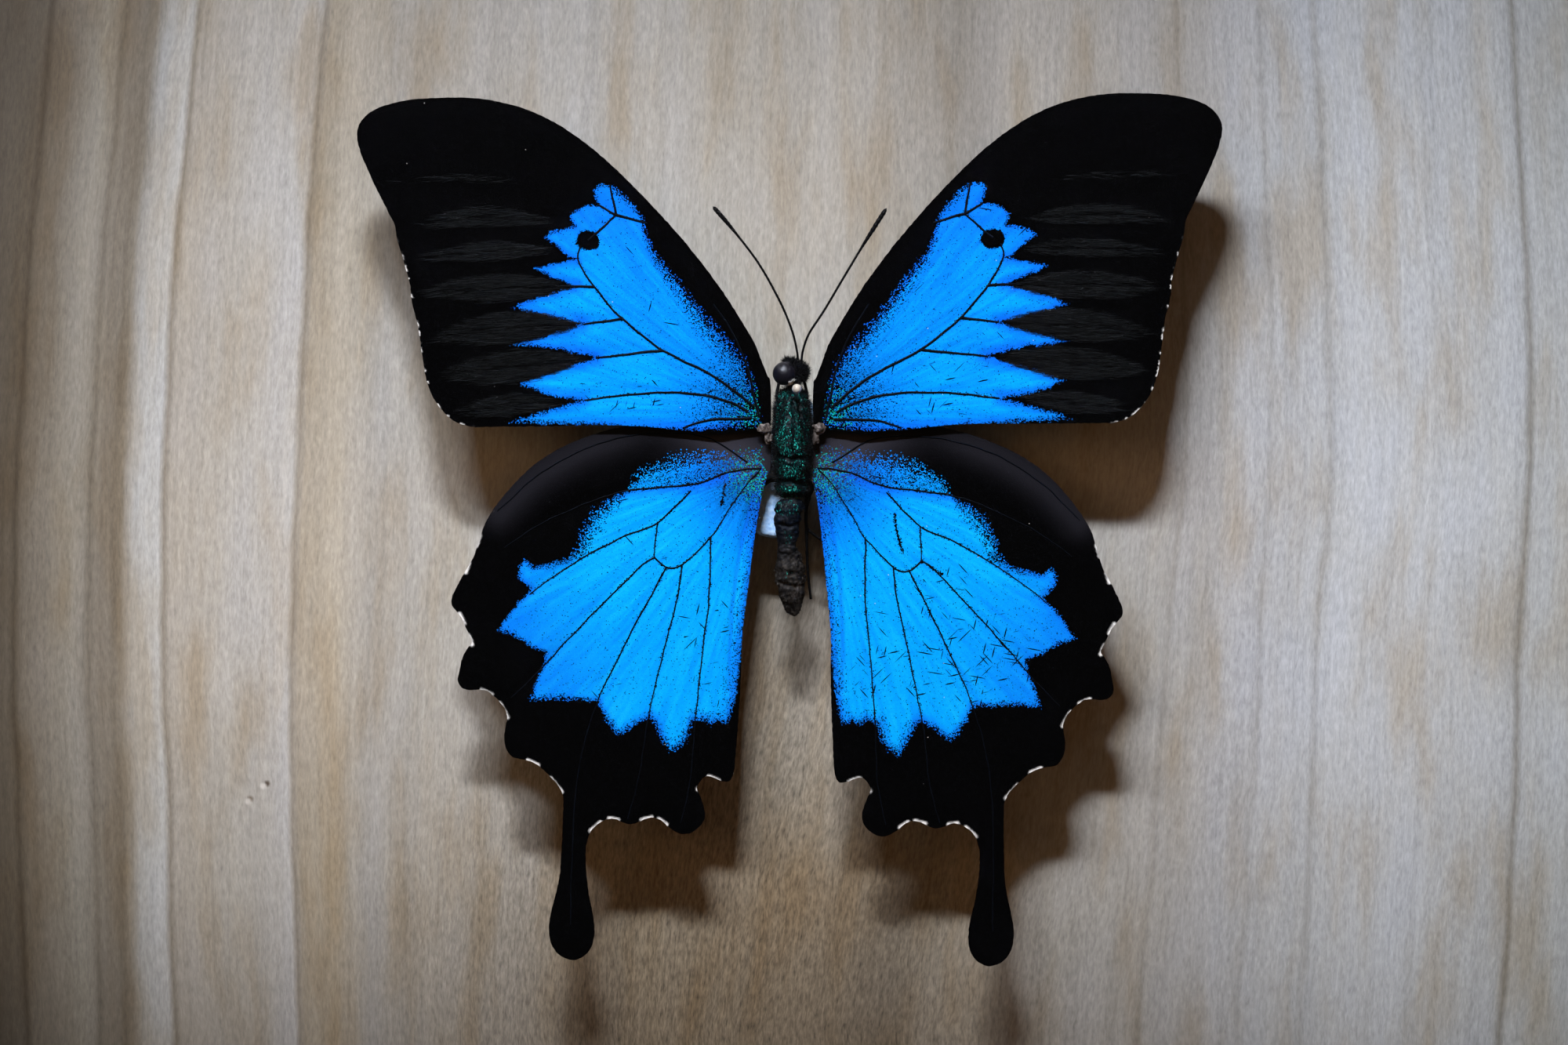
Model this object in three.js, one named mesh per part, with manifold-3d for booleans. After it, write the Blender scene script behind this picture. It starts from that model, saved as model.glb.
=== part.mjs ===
// Framed butterfly specimen: a blue swallowtail, spread and pinned on a foam block in front of a
// wood-veneered backing board, inside a glazed box frame that stands on its bottom rail.
// Millimetres, +Z up. The glass faces -Y, and the origin is at the middle of the frame's base.

import * as THREE from "three";
import { TessellateModifier } from "three/addons/modifiers/TessellateModifier.js";
import { mergeVertices } from "three/addons/utils/BufferGeometryUtils.js";
import Module from "manifold-3d";

// Driving dimensions of the box frame
const FRAME_SIZE = 250; // outside, square
const FRAME_DEPTH = 40;
const RAIL_WIDTH = 17.5; // of the face seen from the front
const RABBET = 6; // how far the front lip reaches over the glass
const LIP_THICKNESS = 3.5;
const EDGE_RADIUS = 1.2; // eased front edges of the rails
const GLASS_THICKNESS = 2;
const SPACER_THICKNESS = 4;
const BOARD_THICKNESS = 3;
const BOARD_SETBACK = 29; // from the frame's front to the veneer
const FIT_GAP = 0.3; // between neighbouring pieces

// Driving dimensions of the specimen
const WING_THICKNESS = 0.4;
const WING_HEIGHT = 12; // of the wings above the veneer
const FOREWING_OVERLAP_GAP = 0.7; // a forewing lies over its hindwing with this much air between
const WING_ROOT = 2.7; // from the midline to where a wing meets the side of the thorax
const SPECIMEN_Z = 137; // the level of the wing roots above the frame's base
const TIP_LIFT = 0.9; // the wing tips curl this much towards the glass
const WING_EDGE = 14; // longest triangle edge on a wing
const PIN_DIAMETER = 0.5;
const PIN_HEAD_DIAMETER = 1.2;

// Places that follow from them
const HALF = FRAME_SIZE / 2;
const FRONT_Y = -FRAME_DEPTH / 2;
const SIGHT_HALF = HALF - RAIL_WIDTH;
const RABBET_HALF = SIGHT_HALF + RABBET;
const GLASS_FRONT_Y = FRONT_Y + LIP_THICKNESS + FIT_GAP;
const GLASS_BACK_Y = GLASS_FRONT_Y + GLASS_THICKNESS;
const BOARD_FRONT_Y = FRONT_Y + BOARD_SETBACK;
const BOARD_BACK_Y = BOARD_FRONT_Y + BOARD_THICKNESS;
const FOREWING_Y = BOARD_FRONT_Y - WING_HEIGHT;
const HINDWING_Y = FOREWING_Y + WING_THICKNESS + FOREWING_OVERLAP_GAP;
const BODY_Y = HINDWING_Y - 0.3; // depth of the thorax's axis

const wasm = await Module();
wasm.setup();

const finish = (color, roughness, metalness = 0) =>
  new THREE.MeshStandardMaterial({ color, roughness, metalness });
const MATERIALS = {
  rail: finish("#1d1b1a", 0.5),
  glass: new THREE.MeshStandardMaterial({ color: "#f4fbfa", roughness: 0.05, transparent: true, opacity: 0.15 }),
  spacer: finish("#201e1c", 0.7),
  veneer: finish("#b3aea4", 0.6),
  steel: finish("#9b9da0", 0.35, 1),
  foam: finish("#e8ecee", 0.7),
  wing: finish("#0a86e0", 0.55),
  thorax: finish("#0b3a38", 0.7),
  abdomen: finish("#26231f", 0.8),
  head: finish("#17161a", 0.5),
  limb: finish("#0c0b0c", 0.5),
};

const part = new THREE.Group();

function addMesh(parent, name, geometry, material) {
  const mesh = new THREE.Mesh(geometry, material);
  mesh.name = name;
  parent.add(mesh);
  return mesh;
}

// A closed geometry as a solid for joining and cutting, and back again.
function toSolid(geometry) {
  const bare = new THREE.BufferGeometry().setAttribute("position", geometry.getAttribute("position"));
  bare.setIndex(geometry.index);
  const merged = mergeVertices(bare, 1e-4);
  return new wasm.Manifold(
    new wasm.Mesh({
      numProp: 3,
      vertProperties: merged.attributes.position.array,
      triVerts: new Uint32Array(merged.index.array),
    }),
  );
}

function toGeometry(solid) {
  const mesh = solid.getMesh();
  const geometry = new THREE.BufferGeometry();
  geometry.setAttribute("position", new THREE.BufferAttribute(mesh.vertProperties, 3));
  geometry.setIndex(new THREE.BufferAttribute(mesh.triVerts, 1));
  geometry.computeVertexNormals();
  return geometry;
}

// A closed skin over a row of rings that have equal numbers of points, with a fan at each end.
function loft(rings) {
  const sides = rings[0].length;
  const points = rings.flat();
  const index = [];
  for (let r = 0; r + 1 < rings.length; r++) {
    for (let s = 0; s < sides; s++) {
      const next = (s + 1) % sides;
      const [a, b] = [r * sides + s, r * sides + next];
      index.push(a, b, b + sides, a, b + sides, a + sides);
    }
  }
  for (const [ring, first, turned] of [
    [rings[0], 0, true],
    [rings.at(-1), (rings.length - 1) * sides, false],
  ]) {
    const middle = ring.reduce((sum, p) => sum.add(p), new THREE.Vector3()).divideScalar(sides);
    const centre = points.push(middle) - 1;
    for (let s = 0; s < sides; s++) {
      const [a, b] = [first + s, first + ((s + 1) % sides)];
      index.push(...(turned ? [b, a, centre] : [a, b, centre]));
    }
  }
  const geometry = new THREE.BufferGeometry().setFromPoints(points);
  geometry.setIndex(index);
  geometry.computeVertexNormals();
  return geometry;
}

// A solid limb along a curve, whose radius follows a function of the share of its length.
function limb(curve, radiusAt, steps, sides) {
  const frames = curve.computeFrenetFrames(steps, false);
  const rings = [];
  for (let i = 0; i <= steps; i++) {
    const centre = curve.getPointAt(i / steps);
    const radius = radiusAt(i / steps);
    const ring = [];
    for (let s = 0; s < sides; s++) {
      const angle = (2 * Math.PI * s) / sides;
      ring.push(
        centre
          .clone()
          .addScaledVector(frames.normals[i], radius * Math.cos(angle))
          .addScaledVector(frames.binormals[i], radius * Math.sin(angle)),
      );
    }
    rings.push(ring);
  }
  return loft(rings);
}

// A body section from stations [height, middle x, half width, middle y, half depth], with ring grooves.
function bodySection(stations, ringCount, sides, groovePitch = 0, grooveDepth = 0) {
  const heights = stations.map((s) => -s[0]); // rising values, as the interpolant needs
  const shape = new THREE.CubicInterpolant(heights, stations.flatMap((s) => s.slice(1)), 4);
  const rings = [];
  for (let i = 0; i < ringCount; i++) {
    const depth = THREE.MathUtils.lerp(heights[0], heights.at(-1), i / (ringCount - 1));
    const [x, halfWidth, y, halfDepth] = shape.evaluate(depth);
    const groove = groovePitch ? 1 - grooveDepth * Math.cos((Math.PI * depth) / groovePitch) ** 8 : 1;
    const ring = [];
    for (let s = 0; s < sides; s++) {
      const angle = (2 * Math.PI * s) / sides;
      ring.push(
        new THREE.Vector3(
          x + halfWidth * groove * Math.cos(angle),
          y - halfDepth * groove * Math.sin(angle),
          -depth,
        ),
      );
    }
    rings.push(ring);
  }
  return loft(rings);
}

// Box frame: four mitred lengths of one rabbeted moulding
function railProfile() {
  const back = FRAME_DEPTH / 2;
  const lipBack = FRONT_Y + LIP_THICKNESS;
  const profile = new THREE.Shape();
  profile.moveTo(0, back);
  profile.lineTo(0, FRONT_Y + EDGE_RADIUS);
  profile.absarc(EDGE_RADIUS, FRONT_Y + EDGE_RADIUS, EDGE_RADIUS, Math.PI, 1.5 * Math.PI);
  profile.lineTo(RAIL_WIDTH - EDGE_RADIUS, FRONT_Y);
  profile.absarc(RAIL_WIDTH - EDGE_RADIUS, FRONT_Y + EDGE_RADIUS, EDGE_RADIUS, 1.5 * Math.PI, 2 * Math.PI);
  profile.lineTo(RAIL_WIDTH, lipBack);
  profile.lineTo(RAIL_WIDTH - RABBET, lipBack);
  profile.lineTo(RAIL_WIDTH - RABBET, back);
  profile.closePath();
  return profile;
}

// The top rail about the frame's middle. Its ends are drawn in along the mitre as the moulding goes inwards.
function railGeometry() {
  const settings = { depth: FRAME_SIZE, bevelEnabled: false, curveSegments: 4 };
  const rail = new THREE.ExtrudeGeometry(railProfile(), settings);
  rail.rotateY(Math.PI / 2);
  rail.translate(-HALF, 0, HALF);
  const position = rail.getAttribute("position");
  for (let i = 0; i < position.count; i++) {
    const reach = position.getZ(i) - FIT_GAP / 2;
    position.setX(i, Math.sign(position.getX(i)) * reach);
  }
  rail.computeVertexNormals();
  return rail;
}

const frame = new THREE.Group();
frame.position.z = HALF;
part.add(frame);

["top", "right", "bottom", "left"].forEach((side, quarter) => {
  const rail = addMesh(frame, `rail_${side}`, railGeometry(), MATERIALS.rail);
  rail.rotation.y = (quarter * Math.PI) / 2;
});

// What the rabbet holds: the glass, four spacer strips and the veneered board
const paneSize = 2 * (RABBET_HALF - FIT_GAP);
const pane = addMesh(frame, "glass_pane", new THREE.BoxGeometry(paneSize, GLASS_THICKNESS, paneSize), MATERIALS.glass);
pane.position.y = (GLASS_FRONT_Y + GLASS_BACK_Y) / 2;

const board = addMesh(
  frame,
  "backing_board",
  new THREE.BoxGeometry(paneSize, BOARD_THICKNESS, paneSize),
  MATERIALS.veneer,
);
board.position.y = (BOARD_FRONT_Y + BOARD_BACK_Y) / 2;

const spacerDepth = BOARD_FRONT_Y - GLASS_BACK_Y - 2 * FIT_GAP;
const spacerMiddle = RABBET_HALF - FIT_GAP - SPACER_THICKNESS / 2;
["top", "right", "bottom", "left"].forEach((side, quarter) => {
  const upright = quarter % 2 === 1;
  const length = upright ? paneSize - 2 * (SPACER_THICKNESS + FIT_GAP) : paneSize;
  const strip = new THREE.BoxGeometry(length, spacerDepth, SPACER_THICKNESS);
  const spacer = addMesh(frame, `spacer_${side}`, strip, MATERIALS.spacer);
  const turn = (quarter * Math.PI) / 2;
  spacer.rotation.y = turn;
  const middleY = (GLASS_BACK_Y + BOARD_FRONT_Y) / 2;
  spacer.position.set(spacerMiddle * Math.sin(turn), middleY, spacerMiddle * Math.cos(turn));
});

// Framer's points: flat steel tabs, driven into the rails, that keep the board against the spacers
const TAB_LENGTH = 14;
const TAB_WIDTH = 9;
const TAB_THICKNESS = 0.6;
const TAB_SPREAD = 62; // of the two tabs on each rail, from the rail's middle

function tabGeometry() {
  const outline = new THREE.Shape();
  outline.moveTo(-TAB_WIDTH / 2, 0);
  outline.lineTo(TAB_WIDTH / 2, 0);
  outline.lineTo(TAB_WIDTH / 2, TAB_LENGTH / 3);
  outline.lineTo(TAB_WIDTH / 8, TAB_LENGTH);
  outline.lineTo(-TAB_WIDTH / 8, TAB_LENGTH);
  outline.lineTo(-TAB_WIDTH / 2, TAB_LENGTH / 3);
  outline.closePath();
  const tab = new THREE.ExtrudeGeometry(outline, { depth: TAB_THICKNESS, bevelEnabled: false });
  tab.rotateX(-Math.PI / 2); // its length runs inwards, away from the rail
  return tab;
}

["top", "right", "bottom", "left"].forEach((side, quarter) => {
  const turned = new THREE.Group();
  turned.rotation.y = (quarter * Math.PI) / 2;
  frame.add(turned);
  [-1, 1].forEach((end) => {
    const tab = addMesh(turned, `point_${side}_${end < 0 ? 1 : 2}`, tabGeometry(), MATERIALS.steel);
    tab.position.set(end * TAB_SPREAD, BOARD_BACK_Y + FIT_GAP, RABBET_HALF - FIT_GAP);
  });
});

// Saw-tooth hanger: a thin steel plate nailed to the back of the top rail, with teeth on its lower edge
const HANGER_LENGTH = 46;
const HANGER_HEIGHT = 8;
const HANGER_THICKNESS = 0.8;
const HANGER_TEETH = 8;
const TOOTH_DEPTH = 1.6;
const NAIL_HEAD_DIAMETER = 3;
const NAIL_HEAD_THICKNESS = 0.7;

function hangerGeometry() {
  const half = HANGER_LENGTH / 2;
  const low = -HANGER_HEIGHT / 2;
  const toothed = half - HANGER_HEIGHT; // half of the toothed stretch
  const pitch = (2 * toothed) / HANGER_TEETH;
  const outline = new THREE.Shape();
  outline.moveTo(half, low);
  outline.absarc(half - HANGER_HEIGHT / 2, 0, HANGER_HEIGHT / 2, -Math.PI / 2, Math.PI / 2);
  outline.absarc(HANGER_HEIGHT / 2 - half, 0, HANGER_HEIGHT / 2, Math.PI / 2, 1.5 * Math.PI);
  outline.lineTo(-toothed, low);
  for (let tooth = 0; tooth < HANGER_TEETH; tooth++) {
    const start = -toothed + tooth * pitch;
    outline.lineTo(start + pitch / 2, low + TOOTH_DEPTH);
    outline.lineTo(start + pitch, low);
  }
  const settings = { depth: HANGER_THICKNESS, bevelEnabled: false, curveSegments: 6 };
  const plate = new THREE.ExtrudeGeometry(new THREE.Shape(outline.getPoints(6).slice(1)), settings);
  plate.rotateX(Math.PI / 2); // the plate's thickness runs towards -Y
  return plate;
}

const hangerZ = HALF - RAIL_WIDTH / 2 + RABBET / 2; // the middle of the rail's back
const hangerBack = FRAME_DEPTH / 2 + FIT_GAP + HANGER_THICKNESS;
const hanger = addMesh(frame, "hanger_plate", hangerGeometry(), MATERIALS.steel);
hanger.position.set(0, hangerBack, hangerZ);
[-1, 1].forEach((end) => {
  const head = new THREE.CylinderGeometry(
    NAIL_HEAD_DIAMETER / 2,
    NAIL_HEAD_DIAMETER / 2,
    NAIL_HEAD_THICKNESS,
    16,
  );
  const nail = addMesh(frame, `hanger_nail_${end < 0 ? "left" : "right"}`, head, MATERIALS.steel);
  const x = end * (HANGER_LENGTH / 2 - HANGER_HEIGHT / 2);
  nail.position.set(x, hangerBack + FIT_GAP / 2 + NAIL_HEAD_THICKNESS / 2, hangerZ);
});

// Specimen: everything below is placed from the midline, at the level of the wing roots
const specimen = new THREE.Group();
specimen.position.z = SPECIMEN_Z;
part.add(specimen);

// Wing outlines as [outwards from the midline, up from the wing roots]. Each row is one smooth stretch
// that starts where the row before it ends, so the rows meet in the outline's corners.
const FOREWING_OUTLINE = [
  // front edge, from the root over the rounded tip
  [[2.7, 7.0], [3.9, 10.0], [5.2, 13.0], [9.9, 20.3], [16.3, 28.1], [24.7, 36.4], [32.0, 41.2], [39.1, 43.2],
    [46.3, 43.3], [51.0, 42.6], [54.0, 41.2], [55.3, 38.9], [54.7, 36.0]],
  // outer edge, with its shallow waves
  [[54.7, 36.0], [53.2, 32.6], [51.5, 29.2], [50.5, 27.2]],
  [[50.5, 27.2], [50.1, 25.0], [49.3, 22.4], [48.5, 19.4]],
  [[48.5, 19.4], [48.3, 17.2], [47.6, 14.6], [47.2, 11.9]],
  [[47.2, 11.9], [46.9, 9.9], [46.5, 7.6], [45.6, 5.2], [44.1, 3.2], [42.5, 2.0], [40.5, 1.5]],
  // hind edge, back to the root
  [[40.5, 1.5], [32.0, 1.6], [21.3, 1.7], [14.1, 1.1], [9.5, 0.7], [5.6, 1.2], [2.7, 1.7]],
];
const HINDWING_OUTLINE = [
  // front edge, from the root under the forewing round to the first scallop
  [[2.7, 0.6], [6.0, 1.9], [11.0, 2.8], [16.0, 2.6], [21.2, 1.7], [25.6, 0.5], [30.0, -1.4], [33.6, -3.9],
    [36.9, -7.4], [39.0, -10.5], [40.0, -13.4], [40.7, -15.3]],
  // two scallops of the outer edge
  [[40.7, -15.3], [42.0, -17.5], [43.2, -19.8], [43.4, -20.9], [43.1, -21.7], [42.3, -22.5], [41.5, -24.2],
    [40.8, -25.9]],
  [[40.8, -25.9], [41.9, -27.6], [42.4, -29.6], [42.6, -30.8], [42.3, -31.5], [41.6, -32.0], [40.3, -32.0],
    [39.1, -32.0], [37.8, -33.0], [36.8, -34.1], [36.3, -35.4]],
  [[36.3, -35.4], [36.6, -37.1], [36.7, -38.4], [36.4, -39.6], [35.6, -40.6], [34.7, -40.8], [33.4, -41.1],
    [32.3, -41.7], [30.8, -43.1], [29.7, -44.3], [29.2, -45.6]],
  // the tail, down one side, round its club and up the other
  [[29.2, -45.6], [29.2, -48.0], [29.4, -52.4], [29.7, -56.1], [30.6, -59.9], [31.0, -62.2], [30.7, -64.4],
    [29.6, -65.9], [27.8, -66.5], [26.1, -65.6], [25.3, -63.9], [25.3, -61.4], [25.9, -58.2], [26.3, -54.6],
    [26.2, -51.6], [25.5, -49.8]],
  // scallops between the tail and the inner corner
  [[25.5, -49.8], [24.4, -48.9], [23.0, -48.4], [21.6, -48.9], [20.3, -49.2], [19.2, -48.7], [18.0, -48.3],
    [16.8, -48.6], [15.5, -49.7], [14.2, -50.4], [13.0, -50.3], [11.6, -49.3], [11.1, -48.0], [11.5, -46.2],
    [12.1, -44.6]],
  [[12.1, -44.6], [11.5, -43.4], [10.5, -43.0], [9.4, -43.5], [8.3, -43.8], [7.6, -43.2], [7.3, -41.8]],
  // inner edge, beside the abdomen, up to the root
  [[7.3, -41.8], [6.9, -36.8], [6.5, -30.5], [6.3, -24.8], [5.6, -19.2], [4.9, -13.7], [4.0, -8.1],
    [3.1, -4.6], [2.7, -3.6]],
];

// How each wing was set: turned about its root in degrees, tips up, and shifted [outwards, up].
const WINGS = [
  { name: "forewing_left", outline: FOREWING_OUTLINE, side: -1, y: FOREWING_Y, turn: 0, shift: [0, 0] },
  { name: "forewing_right", outline: FOREWING_OUTLINE, side: 1, y: FOREWING_Y, turn: 1.1, shift: [0.15, -0.2] },
  { name: "hindwing_left", outline: HINDWING_OUTLINE, side: -1, y: HINDWING_Y, turn: 0, shift: [0, 0] },
  { name: "hindwing_right", outline: HINDWING_OUTLINE, side: 1, y: HINDWING_Y, turn: -2, shift: [-0.45, 0.05] },
];
const ROOT_MIDDLE = new THREE.Vector2(3, 0.5);
const OUTLINE_STEP = 1.1; // between points along an outline

function wingShape({ outline, side, turn, shift }) {
  const points = [];
  for (const row of outline) {
    const curve = new THREE.SplineCurve(row.map(([out, up]) => new THREE.Vector2(out, up)));
    const steps = Math.ceil(curve.getLength() / OUTLINE_STEP);
    points.push(...curve.getSpacedPoints(steps).slice(0, -1));
  }
  points.push(new THREE.Vector2(...outline.at(-1).at(-1)));
  for (const point of points) {
    point.rotateAround(ROOT_MIDDLE, THREE.MathUtils.degToRad(turn));
    point.x = Math.max(point.x + shift[0], WING_ROOT) * side;
    point.y += shift[1];
  }
  return new THREE.Shape(points);
}

// The wing as a thin plate in the XZ plane that curls a little towards the glass at its outer end.
function wingGeometry(wing) {
  const plate = new THREE.ExtrudeGeometry(wingShape(wing), { depth: WING_THICKNESS, bevelEnabled: false });
  const fine = new TessellateModifier(WING_EDGE, 12).modify(plate);
  fine.rotateX(Math.PI / 2);
  const position = fine.getAttribute("position");
  const reach = 55; // from the midline to a forewing's tip
  for (let i = 0; i < position.count; i++) {
    const curl = TIP_LIFT * (position.getX(i) / reach) ** 2;
    position.setY(i, position.getY(i) - curl);
  }
  fine.computeVertexNormals();
  return fine;
}

for (const wing of WINGS) {
  addMesh(specimen, wing.name, wingGeometry(wing), MATERIALS.wing).position.y = wing.y + WING_THICKNESS;
}

// Body. Stations are [up, middle x, half width, middle depth behind the body's axis, half depth].
const THORAX = [
  [6.4, 0.05, 0.9, 0, 0.9],
  [5.8, 0.05, 1.7, 0, 1.7],
  [4.5, 0.05, 2.0, 0, 2.2],
  [2.5, 0.05, 2.2, 0, 2.7],
  [0.0, 0.05, 2.3, 0, 3.0],
  [-2.0, 0.05, 2.25, 0, 2.9],
  [-4.0, 0.05, 2.05, 0, 2.6],
  [-5.8, 0.0, 1.9, 0, 2.2],
  [-7.0, -0.1, 1.7, 0, 1.9],
  [-7.4, -0.1, 1.3, 0, 1.4],
];
const ABDOMEN = [
  [-7.7, -0.2, 1.3, 0.1, 1.4],
  [-8.3, -0.2, 1.9, 0.1, 1.8],
  [-9.7, -0.5, 1.75, 0.2, 1.8],
  [-12.4, -0.6, 1.45, 0.4, 1.6],
  [-13.6, -0.6, 1.25, 0.5, 1.5],
  [-15.0, -0.35, 1.65, 0.6, 1.6],
  [-17.4, -0.2, 2.0, 0.8, 1.7],
  [-19.7, -0.05, 1.7, 0.9, 1.5],
  [-21.1, 0.1, 1.25, 1.0, 1.2],
  [-22.4, 0.3, 0.6, 1.0, 0.6],
  [-22.7, 0.35, 0.25, 1.0, 0.3],
];
const SEGMENT_PITCH = 1.9;
const SEGMENT_GROOVE = 0.09;

// The pin leans back a little, so that its head stands above the front of the thorax.
const PIN_X = 0.6;
const PIN_Z = 4.9; // where it goes in
const PIN_LEAN = THREE.MathUtils.degToRad(8);
const PIN_ABOVE = 8.6; // from the body's axis to the top of its head
const PIN_BELOW = 10; // from the body's axis to its point, in the foam
const PIN_CLEARANCE = 0.3;

function pinProfile() {
  const radius = PIN_DIAMETER / 2;
  const headRadius = PIN_HEAD_DIAMETER / 2;
  const middle = PIN_ABOVE - headRadius;
  const neck = Math.asin(radius / headRadius);
  const points = [new THREE.Vector2(0, -PIN_BELOW), new THREE.Vector2(radius, 2 - PIN_BELOW)];
  const steps = 8;
  for (let i = 0; i <= steps; i++) {
    const angle = THREE.MathUtils.lerp(-Math.PI / 2 + neck, Math.PI / 2, i / steps);
    points.push(new THREE.Vector2(headRadius * Math.cos(angle), middle + headRadius * Math.sin(angle)));
  }
  points.at(-1).x = 0;
  return points;
}

// From a shape drawn along +Y to the pin's own line: +Y turns to point out of the glass.
function alongPin(geometry) {
  geometry.rotateZ(Math.PI);
  geometry.rotateX(-PIN_LEAN);
  geometry.translate(PIN_X, BODY_Y, PIN_Z);
  return geometry;
}

const pinHole = () => toSolid(alongPin(new THREE.CylinderGeometry(
  PIN_DIAMETER / 2 + PIN_CLEARANCE,
  PIN_DIAMETER / 2 + PIN_CLEARANCE,
  4 * PIN_BELOW,
  10,
)));

const thoraxBlank = bodySection(THORAX, 18, 16).translate(0, BODY_Y, 0);
const thoraxSolid = toSolid(thoraxBlank).subtract(pinHole());
addMesh(specimen, "thorax", toGeometry(thoraxSolid), MATERIALS.thorax);
const abdomen = bodySection(ABDOMEN, 36, 12, SEGMENT_PITCH, SEGMENT_GROOVE);
addMesh(specimen, "abdomen", abdomen.translate(0, BODY_Y, 0), MATERIALS.abdomen);
addMesh(specimen, "pin", alongPin(new THREE.LatheGeometry(pinProfile(), 10)), MATERIALS.steel);

// Head, turned so that its left eye looks out of the glass, with the eyes and the two palps grown on it
const HEAD_Z = 8.5;
const HEAD_TURN = THREE.MathUtils.degToRad(40);
const EYE_RADIUS = 1.3;
const EYE_SPREAD = 1.0;

function headSolid() {
  const skull = new THREE.SphereGeometry(1.45, 14, 8);
  skull.rotateX(Math.PI / 2);
  skull.scale(1, 0.95, 1.15);
  let solid = toSolid(skull);
  for (const side of [-1, 1]) {
    const eye = new THREE.SphereGeometry(EYE_RADIUS, 12, 8);
    eye.rotateX(Math.PI / 2);
    eye.translate(side * EYE_SPREAD, -0.1, 0);
    const palp = new THREE.SphereGeometry(0.4, 6, 4);
    palp.scale(1, 1.2, 1.9);
    palp.translate(side * 0.45, 0.55, 1.2);
    solid = solid.add(toSolid(eye)).add(toSolid(palp));
  }
  return solid;
}
const head = addMesh(specimen, "head", toGeometry(headSolid()), MATERIALS.head);
head.position.set(-0.05, BODY_Y - 0.4, HEAD_Z);
head.rotation.z = HEAD_TURN;

// Antennae: thin shafts that thicken into a club at the tip
const ANTENNAE = [
  { name: "antenna_left", route: [[0.75, 10.1], [0.65, 11.2], [0.0, 13.8], [-1.5, 17.4], [-4.2, 22.2], [-7.4, 26.4],
    [-10.0, 29.4]] },
  { name: "antenna_right", route: [[1.25, 9.85], [1.4, 11.2], [2.2, 13.4], [4.1, 16.3], [6.6, 20.5], [9.2, 24.8],
    [12.0, 29.2]] },
];
const ANTENNA_RISE = 2.5; // towards the glass, from base to tip

function antennaRadius(share) {
  const club = THREE.MathUtils.smoothstep(share, 0.78, 0.92) * 0.14;
  const end = THREE.MathUtils.smoothstep(share, 0.97, 1.02) * 0.16;
  return 0.15 + club - end;
}

for (const { name, route } of ANTENNAE) {
  const points = route.map(([x, z], i) => {
    const y = BODY_Y - 0.5 - (ANTENNA_RISE * i) / (route.length - 1);
    return new THREE.Vector3(x, y, z);
  });
  addMesh(specimen, name, limb(new THREE.CatmullRomCurve3(points), antennaRadius, 22, 6), MATERIALS.limb);
}

// Legs, folded back under the body: points are [out, behind the body's axis, up], and the middle right leg
// and hind right leg are the ones that show beside the abdomen.
const LEGS = [
  { name: "foreleg_left", side: -1, route: [[1.5, 2.1, 4.7], [1.9, 2.8, 5.6], [1.6, 3.0, 7.4], [0.8, 2.9, 9.2]] },
  { name: "foreleg_right", side: 1, route: [[1.5, 2.1, 4.7], [1.9, 2.8, 5.6], [1.6, 3.0, 7.4], [0.8, 2.9, 9.2]] },
  { name: "midleg_left", side: -1, route: [[2.15, 1.95, -3.2], [4.4, 2.9, -4.4], [5.6, 3.8, -8.0], [6.4, 4.6, -11.6]] },
  { name: "midleg_right", side: 1, route: [[2.15, 1.95, -3.2], [1.9, 2.8, -6.0], [1.85, 3.0, -9.0],
    [1.9, 3.1, -11.2], [2.6, 3.1, -12.0], [3.7, 3.1, -12.8], [6.0, 3.3, -14.4]] },
  { name: "hindleg_left", side: -1, route: [[2.0, 1.65, -5.2], [3.0, 2.1, -5.4], [4.6, 2.4, -7.0], [5.8, 2.5, -10.0],
    [6.4, 2.6, -13.0]] },
  { name: "hindleg_right", side: 1, route: [[2.3, 0.95, -5.5], [2.6, 1.3, -6.3], [2.2, 1.7, -7.4], [1.85, 2.2, -9.0],
    [1.85, 2.5, -11.2], [1.95, 2.7, -14.4], [2.05, 2.8, -17.0], [2.45, 2.9, -20.5]] },
];
const legRadius = (share) => THREE.MathUtils.lerp(0.3, 0.16, share);

for (const { name, side, route } of LEGS) {
  const points = route.map(([out, back, up]) => new THREE.Vector3(side * out, BODY_Y + back, up));
  addMesh(specimen, name, limb(new THREE.CatmullRomCurve3(points), legRadius, 16, 6), MATERIALS.limb);
}

// Foam block, stuck on the veneer under the thorax, that takes the point of the pin
const BLOCK_WIDTH = 4.8;
const BLOCK_LENGTH = 18.6;
const BLOCK_EDGE = 0.6;
const BLOCK_CORNER = 1.2;
const BLOCK_LEAN = THREE.MathUtils.degToRad(13);
const BLOCK_FRONT_Y = BODY_Y + 3.4;

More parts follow.
